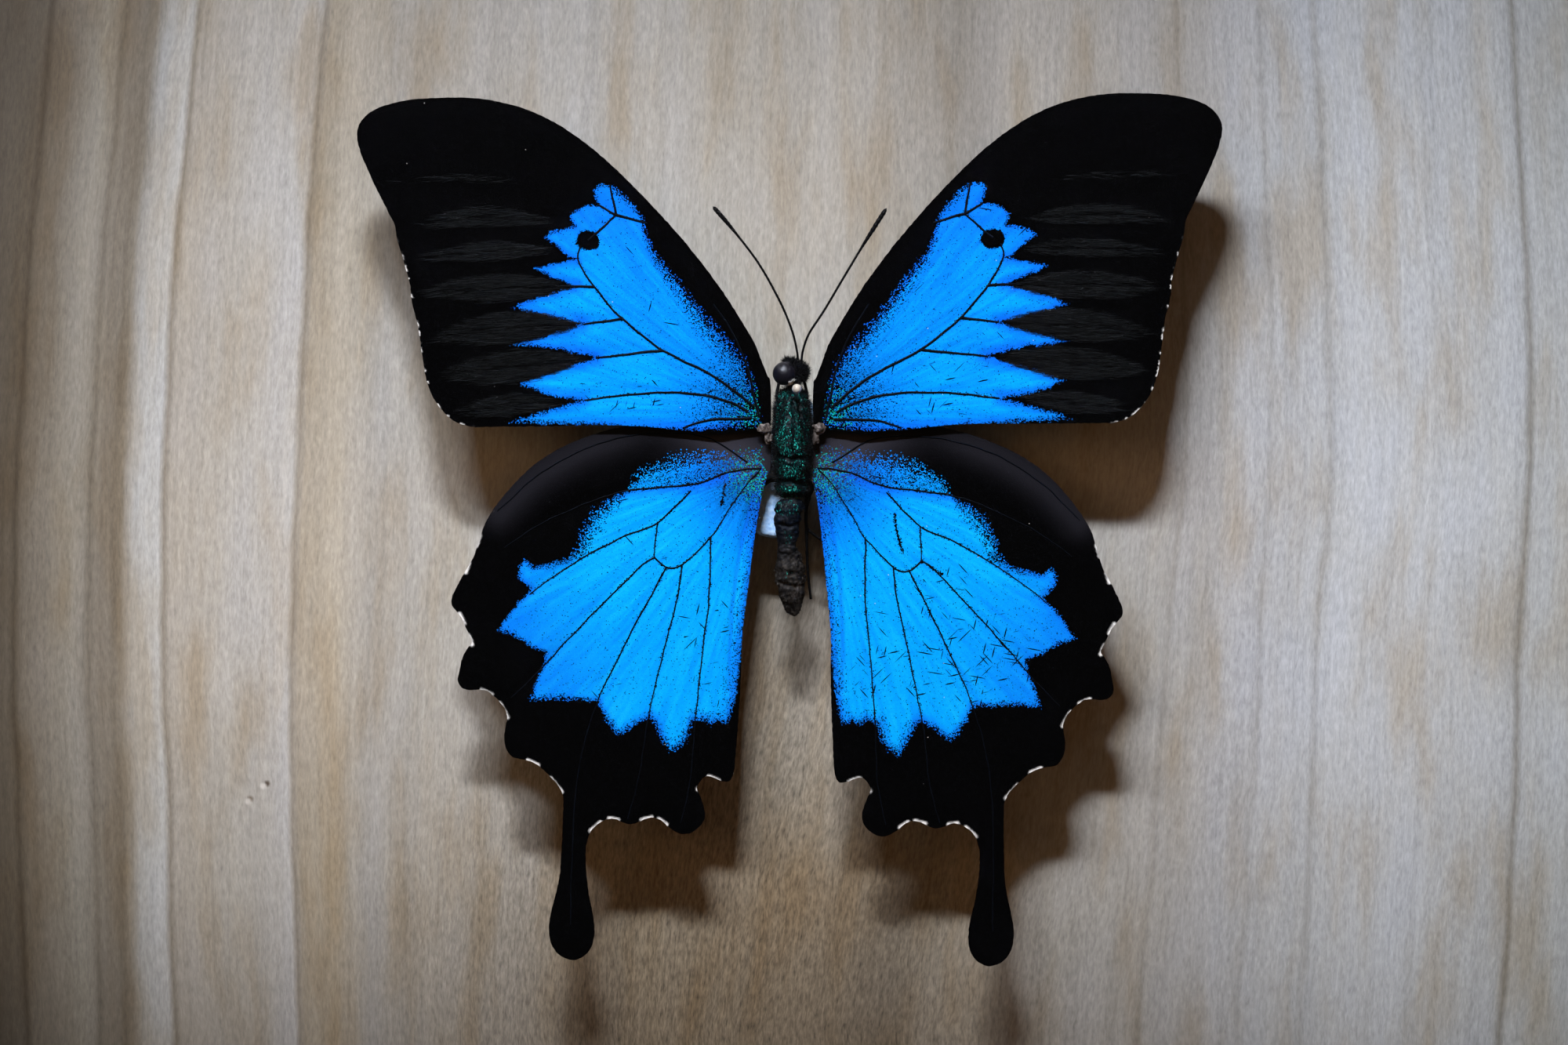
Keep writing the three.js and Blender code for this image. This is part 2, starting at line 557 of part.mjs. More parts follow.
function foamGeometry() {
  const [w, h] = [BLOCK_WIDTH / 2 - BLOCK_EDGE, BLOCK_LENGTH / 2 - BLOCK_EDGE];
  const outline = new THREE.Shape();
  outline.moveTo(w, BLOCK_CORNER - h);
  outline.absarc(w - BLOCK_CORNER, h - BLOCK_CORNER, BLOCK_CORNER, 0, Math.PI / 2);
  outline.absarc(BLOCK_CORNER - w, h - BLOCK_CORNER, BLOCK_CORNER, Math.PI / 2, Math.PI);
  outline.absarc(BLOCK_CORNER - w, BLOCK_CORNER - h, BLOCK_CORNER, Math.PI, 1.5 * Math.PI);
  outline.absarc(w - BLOCK_CORNER, BLOCK_CORNER - h, BLOCK_CORNER, 1.5 * Math.PI, 2 * Math.PI);
  const depth = BOARD_FRONT_Y - FIT_GAP - BLOCK_FRONT_Y - 2 * BLOCK_EDGE;
  const settings = { depth, bevelThickness: BLOCK_EDGE, bevelSize: BLOCK_EDGE, bevelSegments: 2, curveSegments: 3 };
  const block = new THREE.ExtrudeGeometry(outline, settings);
  block.rotateX(Math.PI / 2);
  block.rotateY(BLOCK_LEAN);
  block.translate(-1.2, BOARD_FRONT_Y - FIT_GAP - BLOCK_EDGE, -3.4);
  return block;
}
addMesh(specimen, "foam_block", toGeometry(toSolid(foamGeometry()).subtract(pinHole())), MATERIALS.foam);

export default part;
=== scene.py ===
# %% [markdown]
# # A framed butterfly specimen
# A blue swallowtail, spread and pinned on a foam block, in front of a board faced with greyed wood veneer,
# in a black box frame with a glass front. The CAD model holds every solid at its real size and place. This
# lesson dresses those solids: wing scales and veins, fur, veneer grain, stained wood and glass.

# %% Load the frame
import math

import bmesh
import bpy
import numpy as np
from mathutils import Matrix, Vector, noise
from mathutils.geometry import delaunay_2d_cdt


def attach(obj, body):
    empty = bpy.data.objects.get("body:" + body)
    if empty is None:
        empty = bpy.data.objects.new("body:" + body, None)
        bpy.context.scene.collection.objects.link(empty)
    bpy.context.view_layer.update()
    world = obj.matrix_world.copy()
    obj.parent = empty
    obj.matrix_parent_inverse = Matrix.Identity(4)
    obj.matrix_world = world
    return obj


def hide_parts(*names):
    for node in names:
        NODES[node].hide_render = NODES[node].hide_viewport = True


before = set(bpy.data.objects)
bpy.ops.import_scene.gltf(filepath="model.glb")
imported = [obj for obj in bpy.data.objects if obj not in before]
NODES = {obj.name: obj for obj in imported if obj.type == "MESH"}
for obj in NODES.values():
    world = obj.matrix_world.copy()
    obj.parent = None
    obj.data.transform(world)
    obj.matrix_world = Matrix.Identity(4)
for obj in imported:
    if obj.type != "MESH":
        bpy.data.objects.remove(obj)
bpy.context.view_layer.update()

MM = 0.001  # the CAD is drawn in millimetres, Blender works in metres

# %% [markdown]
# ## Small tools
# Colours are written as sRGB hex values, as a colour picker shows them, while Blender's shaders work with
# linear light, so one function turns the first into the second. Another adds a node with its settings and
# links: a node handed over as a value stands for the first of its outputs that is in use.


# %% Colours and nodes
def linear(code):
    shares = [int(code[i : i + 2], 16) / 255 for i in (1, 3, 5)]
    return tuple(s / 12.92 if s <= 0.04045 else ((s + 0.055) / 1.055) ** 2.4 for s in shares) + (1.0,)


def feed(node, feeds):
    """Gives a node's inputs their numbers or links, by name or in order."""
    for socket, value in feeds.items() if isinstance(feeds, dict) else enumerate(feeds):
        if isinstance(value, bpy.types.Node):
            value = next(output for output in value.outputs if output.enabled)
        if isinstance(value, bpy.types.NodeSocket):
            node.id_data.links.new(value, node.inputs[socket])
        else:
            node.inputs[socket].default_value = value


def add(tree, kind, feeds=(), stops=(), **settings):
    """Adds a node with what goes into it, the stops of a colour ramp, and its settings."""
    node = tree.nodes.new(kind if "Node" in kind else "ShaderNode" + kind)
    for name, value in settings.items():
        setattr(node, name, value)
    if stops:
        elements = node.color_ramp.elements
        while len(elements) < len(stops):
            elements.new(0.5)
        for element, (at, code) in zip(elements, stops):
            element.position, element.color = at, linear(code)
    feed(node, feeds)
    return node


def new_material(name, **values):
    """A material, its nodes and its shader, with the shader's plain values set."""
    material = bpy.data.materials.new(name)
    material.use_nodes = True
    shader = material.node_tree.nodes["Principled BSDF"]
    feed(shader, {socket.replace("_", " "): value for socket, value in values.items()})
    return material, material.node_tree, shader


print("middle grey in linear light:", round(linear("#808080")[0], 3))

# %% [markdown]
# A piece is a mesh with its points in millimetres, and named numbers on its points for the materials to read.
# When it is finished it is given its body, and the CAD nodes it stands for are hidden.


# %% Pieces
def show(name, mesh):
    piece = bpy.data.objects.new(name, mesh)
    bpy.context.collection.objects.link(piece)
    return piece


def new_object(name, vertices, faces, edges=()):
    mesh = bpy.data.meshes.new(name)
    mesh.from_pydata((np.asarray(vertices, float) * MM).tolist(), list(edges), list(faces))
    mesh.update()
    return show(name, mesh)


def set_attribute(piece, name, values):
    layer = piece.data.attributes.new(name, "FLOAT", "POINT")
    layer.data.foreach_set("value", np.asarray(values, np.float32))


def settle(piece, slot, *nodes):
    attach(piece, "root")
    if nodes:
        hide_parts(*nodes)
    print(f"{piece.name}: {len(piece.data.polygons)} faces, stands for {nodes or 'no node'}")


print("a piece can stand for one of", len(NODES), "nodes")

# %% [markdown]
# ## Camera
# The photograph looks straight at the board. At the wings a photo pixel is a tenth of a millimetre, so the
# picture is 200 mm wide there, and a long lens half a metre away keeps the lines straight.

# %% Camera at the photograph's place
WING_PLANE_Y = -3
CAMERA_DISTANCE = 450
SEEN_WIDTH = 200
SENSOR = 36
PHOTO_CENTRE = (-1.0, 126.35)  # x and z of the photo's middle

camera = bpy.data.objects.new("camera", bpy.data.cameras.new("camera"))
camera.data.sensor_width = SENSOR
camera.data.lens = SENSOR * CAMERA_DISTANCE / SEEN_WIDTH
camera.data.clip_start = 0.01
camera.location = Vector((PHOTO_CENTRE[0], WING_PLANE_Y - CAMERA_DISTANCE, PHOTO_CENTRE[1])) * MM
camera.rotation_euler = (math.pi / 2, 0, 0)
bpy.context.collection.objects.link(camera)
bpy.context.scene.camera = camera
print("lens", camera.data.lens, "mm")

# %% [markdown]
# ## Light
# In the photograph two cool lamps hang close by and above, the stronger near the middle and the other to its
# left: under each wing the shadows of both overlap, and the left lamp's alone reaches further to the right. Weak
# warm lamps on each side and in front turn the deep shadows brown, and another lamp lights the back. They stand
# where the glass can't mirror them into the camera, and the world is almost dark, so the black wings stay black.

# %% Lamps and world
ROOM_GLOW = 0.012
LAMPS = [
    # name, place, aim, width, height, power and colour
    ("left_lamp", (-160, -340, 495), (0, 9, 120), 110, 30, 1.76, "#ebf2ff"),
    ("middle_lamp", (-42, -340, 495), (0, 9, 120), 90, 30, 3.5, "#ebf2ff"),
    ("warm_lamp", (560, -620, 330), (0, 9, 125), 500, 260, 0.45, "#ffb060"),
    ("side_lamp", (-560, -620, 330), (0, 9, 125), 500, 260, 0.9, "#ffc890"),
    ("front_lamp", (0, -700, 60), (0, 9, 125), 600, 300, 0.3, "#ffd0a0"),
    ("back_lamp", (-420, 720, 560), (0, 20, 125), 600, 600, 7.0, "#fff6ea"),
]
for name, place_at, aim, width, height, power, colour in LAMPS:
    lamp = bpy.data.objects.new(name, bpy.data.lights.new(name, "AREA"))
    lamp.data.shape = "RECTANGLE"
    lamp.data.size, lamp.data.size_y = width * MM, height * MM
    lamp.data.energy = power
    lamp.data.color = linear(colour)[:3]
    lamp.location = Vector(place_at) * MM
    lamp.rotation_euler = (Vector(aim) - Vector(place_at)).to_track_quat("-Z", "Y").to_euler()
    # the glass would show the large ones
    lamp.visible_glossy = lamp.visible_transmission = name in ("left_lamp", "middle_lamp")
    bpy.context.collection.objects.link(lamp)

scene = bpy.context.scene
scene.view_settings.view_transform = "Standard"  # keeps the saturated blue as it is
scene.world = bpy.data.worlds.new("dim_room")
scene.world.use_nodes = True
feed(scene.world.node_tree.nodes["Background"], {"Color": linear("#d4c8b6"), "Strength": ROOM_GLOW})
print(len(LAMPS), "lamps of", round(sum(power for *_, power, _ in LAMPS), 2), "W in all")

# %% [markdown]
# ## Floor
# The frame stands on a pale floor that rises into a wall far away, like a studio's paper sweep. Their paint is dull.
# The small lamps fade with distance, so a faint glow of the paint itself takes over further out and the eye gets
# one even tone behind the object.

# %% Floor and backdrop
RINGS = [(2400, 0), (2640, 40), (2850, 180), (2960, 360), (3000, 600), (3000, 2600)]  # radius and height
SIDES = 64
PAINT = linear("#ddceb2")
GLOW_STARTS, GLOW_IS_FULL, GLOW = 0.5, 1.8, 0.2  # two distances in metres, and a strength

around = [(math.cos(k * 2 * math.pi / SIDES), math.sin(k * 2 * math.pi / SIDES)) for k in range(SIDES)]
floor = new_object("floor", [(RINGS[0][0] * c, RINGS[0][0] * s, 0) for c, s in around], [tuple(range(SIDES))])
wall = new_object(
    "backdrop",
    [(r * c, r * s, z) for r, z in RINGS for c, s in around],
    [
        (i + k, i + SIDES + k, i + SIDES + (k + 1) % SIDES, i + (k + 1) % SIDES)
        for i in range(0, (len(RINGS) - 1) * SIDES, SIDES)
        for k in range(SIDES)
    ],
)
wall.data.shade_smooth()
paint, tree, shader = new_material("pale_studio_paint", Base_Color=PAINT, Emission_Color=PAINT, Roughness=0.8)
far_off = add(tree, "VectorMath", [add(tree, "TexCoord").outputs["Object"]], operation="LENGTH")
glow = add(
    tree, "MapRange", {0: far_off, 1: GLOW_STARTS, 2: GLOW_IS_FULL, 4: GLOW}, interpolation_type="SMOOTHSTEP"
)
feed(shader, {"Emission Strength": glow})
for part in (floor, wall):
    part.data.materials.append(paint)
    # the glass would mirror it over the lower wings, and its glow would fill the shadows
    part.visible_glossy = part.visible_transmission = part.visible_diffuse = False
wall.visible_shadow = False
print("floor of", RINGS[0][0], "mm radius")

# %% [markdown]
# ## Measuring drawn lines
# The blue patches and the veins are drawn as a few points, in millimetres: outwards from the
# midline, and up from the wing roots. Painting them on an image would be one way. Here every point of a fine
# wing mesh is measured against the drawn lines instead, so that the markings stay sharp at any size.


# %% Distances to lines, and the inside of a loop
def to_path(points, path):
    """Each point's distance to a line, the line's nearest stretch, and the place along that stretch."""
    best = np.full(len(points), np.inf)
    nearest = np.zeros(len(points), int)
    share = np.zeros(len(points))
    for i, (a, b) in enumerate(zip(path[:-1], path[1:])):
        along = b - a
        t = np.clip((points - a) @ along / max(along @ along, 1e-9), 0, 1)
        gap = np.linalg.norm(points - a - t[:, None] * along, axis=1)
        closer = gap < best
        best[closer], nearest[closer], share[closer] = gap[closer], i, t[closer]
    return best, nearest, share


def inside(points, loop):
    odd = np.zeros(len(points), bool)
    for a, b in zip(loop, np.roll(loop, -1, axis=0)):
        if a[1] != b[1]:
            crosses = (a[1] > points[:, 1]) != (b[1] > points[:, 1])
            at = a[0] + (points[:, 1] - a[1]) / (b[1] - a[1]) * (b[0] - a[0])
            odd ^= crosses & (points[:, 0] < at)
    return odd


def smooth_path(path, steps, closed=False):
    """A curve through every point of a line, with so many steps between two points."""
    path = np.asarray(path, float)
    padded = np.vstack([path[-1:], path, path[:2]]) if closed else np.vstack([path[:1], path, path[-1:]])
    t = (np.arange(steps) / steps)[:, None]
    out = []
    for a, b, c, d in zip(padded[:-3], padded[1:-2], padded[2:-1], padded[3:]):
        out.append(
            0.5 * (2 * b + (c - a) * t + (2 * a - 5 * b + 4 * c - d) * t**2 + (3 * b - a - 3 * c + d) * t**3)
        )
    if not closed:
        out.append(path[-1:])
    return np.vstack(out)


def soft_step(low, high, value):
    t = np.clip((value - low) / (high - low), 0, 1)
    return t * t * (3 - 2 * t)


noise.seed_set(11)  # or the noise vectors would start from the clock


def wander(points, size, amount, seed):
    """A smooth random push of each point, for lines that no ruler drew."""
    push = [noise.noise_vector(Vector((x / size, z / size, seed)))[:2] for x, z in points]
    return points + amount * np.array(push)


def blots(points, wide, high, seed):
    """Smooth random numbers, one per point, with blots of a given size."""
    return np.array([noise.noise(Vector((x / wide, z / high, seed))) for x, z in points])


print("3 mm above a line's middle:", to_path(np.array([[2.0, 3.0]]), np.array([[0.0, 0.0], [4.0, 0.0]])))


# %% [markdown]
# ## Wing places
# The markings are drawn once, on the left wings, and mirrored for the right ones. No hand sets a butterfly quite
# evenly, so each right wing is also turned and shifted a little about its root.

# %% Where the right wings differ from the mirrored left ones
ROOT_LEVEL = 137.0
ROOT_MIDDLE = np.array([3, 0.5])
SETTING = {
    # side, turn in degrees, shift outwards and up
    "forewing_left": (-1, 0, (0, 0)),
    "forewing_right": (1, 1.1, (0.15, -0.2)),
    "hindwing_left": (-1, 0, (0, 0)),
    "hindwing_right": (1, -2, (-0.45, 0.05)),
}


def place(points, wing):
    side, turn, shift = SETTING[wing]
    c, s = math.cos(math.radians(turn)), math.sin(math.radians(turn))
    moved = (np.asarray(points, float)[:, :2] - ROOT_MIDDLE) @ np.array([[c, s], [-s, c]])
    return (moved + ROOT_MIDDLE + shift) * (side, 1) + (0, ROOT_LEVEL)


print("wing roots at", {wing: place([ROOT_MIDDLE], wing)[0].round(2).tolist() for wing in SETTING})


# %% [markdown]
# ## Wing shapes
# A wing is a thin membrane. Its outline and its gentle curl are read from the CAD plate, so the piece stays
# exactly where the solid is. The front gets a fine, even net of triangles because it carries the markings,
# and the back, which faces the board, a coarse one.


# %% The rim and the curl of a CAD wing
def read_plate(node):
    """The front face's rim in order, as x and z, and the front's depth as a line over x squared."""
    net = bmesh.new()
    net.from_mesh(node.data)
    bmesh.ops.remove_doubles(net, verts=net.verts, dist=1e-6)
    # a wall's edge runs straight back from the front rim, so it tells the rim's points from all others
    beside = {}
    partners = [
        sorted(edge.verts, key=lambda v: v.co.y)
        for edge in net.edges
        if (edge.verts[0].co - edge.verts[1].co).xz.length < 1e-6
    ]
    fronts, backs = ({pair[i] for pair in partners} for i in (0, 1))
    for edge in net.edges:
        walls = sum(any(v in backs for v in face.verts) for face in edge.link_faces)
        if walls == 1 and fronts.issuperset(edge.verts):
            for here, there in (edge.verts, reversed(edge.verts)):
                beside.setdefault(here.index, []).append(there.index)
    net.verts.ensure_lookup_table()
    start = max(beside, key=lambda i: net.verts[i].co.z)
    order = [start, max(beside[start], key=lambda i: net.verts[i].co.x)]
    while order[-1] != start:
        a, b = beside[order[-1]]
        order.append(b if a == order[-2] else a)
    rim = np.array([net.verts[i].co for i in order[:-1]]) / MM
    net.free()
    return rim[:, [0, 2]], np.polyfit(rim[:, 0] ** 2, rim[:, 1], 1)


def even_net(low, high, step):
    """Points in staggered rows, the corners of nearly equal triangles."""
    rows = np.arange(low[1], high[1], step * math.sqrt(3) / 2)
    columns = np.arange(low[0], high[0], step)
    return np.vstack(
        [np.column_stack([columns + step / 2 * (i % 2), np.full(len(columns), z)]) for i, z in enumerate(rows)]
    )


def fill(rim, step):
    """Triangles that fill a rim, with its own points first."""
    points = even_net(rim.min(0), rim.max(0), step)
    points = points[inside(points, rim)]
    gap, _, _ = to_path(points, np.vstack([rim[::3], rim[:1]]))
    points = np.vstack([rim, points[gap > step * 0.55]])
    loop = list(range(len(rim)))
    flat, _, faces, *_ = delaunay_2d_cdt([Vector(p) for p in points], [], [loop], 1, 1e-6)
    return np.array(flat), np.array(faces)


print({wing: len(read_plate(NODES[wing])[0]) for wing in SETTING}, "points on the rims")


# %% [markdown]
# ## Wing markings
# Each patch of blue is a loop of points, and the third number says over how many millimetres its scales thin
# out at that point: the edge along the front of a wing is dusted, and the edges of the fingers are crisp.

# %% The drawn markings, on the left wings
FOREWING_BLUE = [
    # along the front edge, from the tip of the patch to the root
    (25.4, 32.1, 0.8), (24.7, 32.6, 0.8), (22.9, 32.6, 1), (21.8, 31.7, 1.2), (19.9, 29.9, 1.2),
    (18.8, 28.1, 0.8), (18.3, 26, 1), (17.4, 24.2, 1.5), (15.9, 22.4, 2), (14.1, 20.3, 2.4),
    (12.4, 18.1, 2.6), (10.6, 16, 3), (8.8, 14, 3), (6.9, 11.9, 3), (5.3, 10, 2.6),
    (4.4, 7.5, 2.2), (3.9, 4.9, 1.8), (3.5, 1.3, 1),
    # along the hind edge
    (11, 1, 0.5), (21, 1.5, 0.4), (31, 1.7, 1),
    # the fingers, from the lowest up
    (36.4, 2, 1.4), (33.8, 3, 0.8), (26.7, 4.9, 0.4), (29.9, 5.3, 0.4), (32.7, 6, 0.6), (34.9, 7, 0.6),
    (31, 8.5, 0.35), (24.9, 10.3, 0.3), (29.5, 11.4, 0.35), (35.8, 11.9, 0.5), (31.3, 13.2, 0.35),
    (26.5, 14.6, 0.3), (31.3, 15.6, 0.35), (35.6, 16.7, 0.5), (32, 18.2, 0.35), (27.4, 19.4, 0.3),
    (30.6, 20.6, 0.35), (33.1, 21.7, 0.5), (30, 22.4, 0.35), (27.4, 22.8, 0.3), (28.4, 23.1, 0.35),
    (30.2, 24.6, 0.5), (31.6, 25.6, 0.6), (30.6, 26.5, 0.6), (27.7, 27.1, 0.5), (28.3, 28.5, 0.5),
    (26.3, 29.8, 0.5), (24.5, 29.8, 0.3), (25.2, 30.6, 0.7),
]
HINDWING_BLUE = [
    # along the upper vein, then the dusted outer edge
    (3.5, -3.7, 0.3), (7.8, -4.1, 0.3), (12.2, -5.7, 0.3), (17.2, -6.2, 0.3), (21.1, -6.6, 0.4),
    (23, -7.2, 2.5), (25.6, -8.7, 3), (27.2, -11.4, 3), (27.8, -13.7, 2.5), (28.9, -15.1, 1.2),
    # the lobes, round to the inner edge
    (32.8, -16.2, 0.8), (34.2, -15.1, 0.6), (35, -16.4, 0.6), (34.9, -17.8, 0.6), (33.3, -19.2, 0.4),
    (35.8, -21.7, 0.5), (36.9, -23.4, 0.5), (37.8, -24.5, 0.7), (35.6, -25.1, 0.8), (33.9, -26.4, 0.8),
    (31.4, -27.3, 0.5), (31.7, -28.7, 0.5), (32.8, -31.1, 0.6), (33.6, -33.5, 0.9), (30.9, -33.3, 1),
    (27.5, -33.5, 1), (25, -33.6, 0.7), (24.2, -35.5, 1), (23.1, -37.2, 1.2), (22, -38.2, 1.2),
    (20.9, -37.4, 1), (19.4, -36.4, 1), (18.1, -35.7, 0.7), (17.5, -36.7, 0.8), (16.7, -38.9, 1),
    (15.6, -40.5, 1.4), (14.1, -39.7, 1.4), (13.1, -38.5, 1.2), (12.5, -36.1, 0.7), (11.3, -36, 0.8),
    (10.3, -36.7, 1), (9.4, -36.1, 0.8), (8.1, -36.6, 0.8),
    # up the inner edge
    (7.4, -34.2, 0.5), (6.9, -31.1, 0.4), (6.5, -28.6, 0.4), (6, -24, 0.4), (5.2, -18, 0.4),
    (4.5, -13, 0.4), (3.6, -8, 0.4), (2.8, -4, 0.6),
]
HINDWING_DUST = [
    (3.5, -0.5, 4.5), (14.4, -1.2, 4.5), (17.2, -2.3, 4.5), (20, -3.9, 4.5), (21, -5.6, 2.5),
    (21.1, -6.6, 0.3), (17.2, -6.2, 0.3), (12.2, -5.7, 0.3), (7.8, -4.1, 0.3), (3.5, -3.7, 0.3),
]
FOREWING_VEINS = [
    [(5, 4.2), (7.7, 6.4), (10.9, 8.5), (16.3, 11.2), (21.6, 15.3), (25.2, 19.4), (27.2, 22.8), (26.9, 24.6)],
    [(25.9, 25.3), (22.4, 28.5)],
    [(22.4, 28.5), (22.9, 31), (23.1, 32.4)],
    [(22.4, 28.5), (24.7, 29.8)],
    [(22.4, 28.5), (20.4, 28), (18.4, 27.4)],
    [(25.2, 19.4), (29.5, 19.4)],
    [(21.6, 15.3), (26.5, 14.6)],
    [(16.5, 11.3), (24.9, 10.3)],
    [(5.6, 3.5), (7.7, 4.6), (11.3, 5.6), (15.9, 5.9), (21.3, 5.6), (26.3, 4.9)],
    [(5.2, 2.6), (10.6, 2.4), (13.8, 1.4)],
    [(4.2, 2.8), (4.8, 5.4), (5.4, 8), (6.4, 11), (7.6, 13.6), (10, 17.2)],
]
HINDWING_VEINS = [
    [(5.7, -3), (9.2, -0.6), (11.7, 0.4), (15.8, 0.8), (20.8, 0.4), (25.6, -0.9), (29.4, -2.7), (33.1, -5.1),
     (35.8, -7.6), (37.5, -9.2)],
    [(3.9, -3.7), (7.8, -4.1), (12.2, -5.7), (17.2, -6.2), (21.1, -6.6), (25, -7.7), (28.3, -9.1), (31.7, -10.6),
     (34.4, -12.3), (36.7, -13.9)],
    [(12.9, -6.6), (17.2, -10.7), (21.4, -12.4), (26.9, -15.3), (31.1, -18), (33.5, -19.8)],
    [(17.2, -10.7), (17.6, -15.1)],
    [(17.6, -15.1), (16, -16.4), (14, -16), (10.3, -12.5), (8.9, -10.3), (6.1, -6.2), (3.9, -3.7)],
    [(17.6, -15.1), (19.2, -16.2), (23.6, -20.5), (29.2, -26.2), (31.4, -28.7), (35.8, -33)],
    [(16, -16.4), (20, -23.7), (22.8, -29.2), (24.7, -33.3), (26.8, -40), (27.8, -48), (28.3, -62)],
    [(14, -16), (14.7, -20.6), (15.8, -24.8), (16.8, -28.9), (18.4, -35.8), (19.5, -43), (21, -48.5)],
    [(10.3, -12.5), (10.6, -20.6), (11.3, -26.2), (12.3, -35.5), (13, -44), (14.2, -49)],
]
# white fringe scales in the hollows of the hindwing's edge, each from one point to another
FRINGE = [
    [(39.8, -12.3), (40.3, -13.7)], [(41.2, -15.8), (41.6, -17)], [(42.4, -22.3), (41.8, -23.5)],
    [(41.3, -25), (40.8, -26.2)], [(39.6, -32), (38.3, -32.6)], [(37.3, -33.7), (36.3, -35.5)],
    [(33.7, -41), (32.4, -41.6)], [(30.8, -43.3), (29.4, -45)], [(25.7, -50), (24.4, -48.9)],
    [(23.3, -48.4), (22.2, -48.6)], [(19.2, -48.6), (17.9, -48.3)], [(17, -48.5), (16, -49.2)],
    [(12, -44.7), (10.6, -43.1)], [(10.5, -43.1), (9.3, -43.6)],
]
# brushes of long dark hair between the forewing's outer veins: inner end, outer end, arch and half width
BRUSHES = [
    [(32, 32.3), (51, 32.3), 0.9, 0.5], [(29, 27.4), (48, 27), 1.0, 1.4], [(28.7, 23.8), (47.5, 22.8), 0.6, 1.3],
    [(27, 19.2), (47, 18.5), 0.35, 1.9], [(26, 14.6), (45.5, 12.7), 0.45, 2.2], [(25.5, 10.2), (44.7, 8), 0.1, 2.2],
    [(28, 4.7), (42.5, 3.2), 0.35, 1.5],
]
# the fold beside the hindwing's inner edge
INNER_FOLD = [(4.2, -5), (5.6, -10), (6.9, -16), (7.7, -23), (8, -32)]
# places where scales have been rubbed off: a tear, dashes, and worn areas as middle and half sizes
WEAR = {
    "hindwing_left": ([[(8.5, -5.7), (8.7, -7), (9, -8.5)]], [((11, -26), (4, 7), 0.4)]),
    "hindwing_right": (
        [[(13.9, -9.2), (14.3, -11.5), (15.2, -14.2)], [(18.6, -15.8), (20.2, -16.7)]],
        [((25, -27), (9, 7), 1.0), ((15, -29), (7, 6), 0.7), ((21, -20), (6, 5), 0.6)],
    ),
    "forewing_right": ([], [((18, 4.5), (9, 3), 0.5), ((22, 9.5), (6, 3), 0.4)]),
    "forewing_left": ([], [((22, 5), (8, 3), 0.35)]),
}
EYESPOT = [(25.95, 25.25), (1.5, 1.2)]  # middle, and half width and height
print(len(FOREWING_VEINS), "and", len(HINDWING_VEINS), "veins,", len(FRINGE), "fringes,", len(BRUSHES), "brushes")


# %% [markdown]
# Three measures serve all four wings: the share of blue scales inside a patch, the distance to the nearest of
# several lines, and the thickness of the hair brushes, which are lens-shaped and arched.

# %% Patches, lines and brushes at every point of a wing
SPILL = 0.08  # scales that stray over a patch's edge


def patch_cover(points, patch, wing, cap=1.0):
    """The share of blue scales at each point, from none outside a patch to all inside it, and the depth in it."""
    loop = place(patch, wing)
    soft = np.array([p[2] for p in patch])
    gap, nearest, share = to_path(points, np.vstack([loop, loop[:1]]))
    depth = np.where(inside(points, loop), gap, -gap)
    softness = soft[nearest] * (1 - share) + soft[(nearest + 1) % len(soft)] * share
    return np.clip((depth + SPILL) / softness, 0, cap), depth


def nearest_line(points, lines, wing):
    return np.min([to_path(points, smooth_path(place(line, wing), 4))[0] for line in lines], axis=0)


def brushed(points, wing):
    """How thick the brushes' hair is at each point, 0 to 1. A bare vein parts each brush."""
    thick = np.zeros(len(points))
    for inner, outer, arch, width in BRUSHES:
        a, b = place([inner, outer], wing)
        length = np.linalg.norm(b - a)
        axis = (b - a) / length
        t = (points - a) @ axis / length
        lens = np.clip(1 - (2 * t - 1) ** 2, 0, 1)
        up = np.array([-axis[1], axis[0]]) * SETTING[wing][0]
        off = np.abs((points - a) @ up - arch * lens)
        here = np.clip((width * lens - off) / 0.5, 0, 1)
        thick = np.maximum(thick, here * (0.2 + 0.8 * soft_step(0.1, 0.35, off)))
    tufts = blots(points, 4, 0.5, 6)
    return thick * (0.35 + 0.65 * soft_step(-0.35, 0.25, tufts))


middle_and_far = place([(30, 12), (60, 40)], "forewing_left")
print("blue in the patch and far from it:", patch_cover(middle_and_far, FOREWING_BLUE, "forewing_left")[0])

# %% [markdown]
# A wing's material needs a few numbers at each point: how many of its scales are blue, how bright and how deep that
# blue is, how worn the place is, and where grey with a painted highlight, white and hair belong. They are measured
# here, in millimetres from the wing's root, from its rim, from its veins and from the edge of the blue.

# %% Measure the markings at every point of a wing
FAN_RADIUS = 20  # where the streaks that fan out from the root have their true width


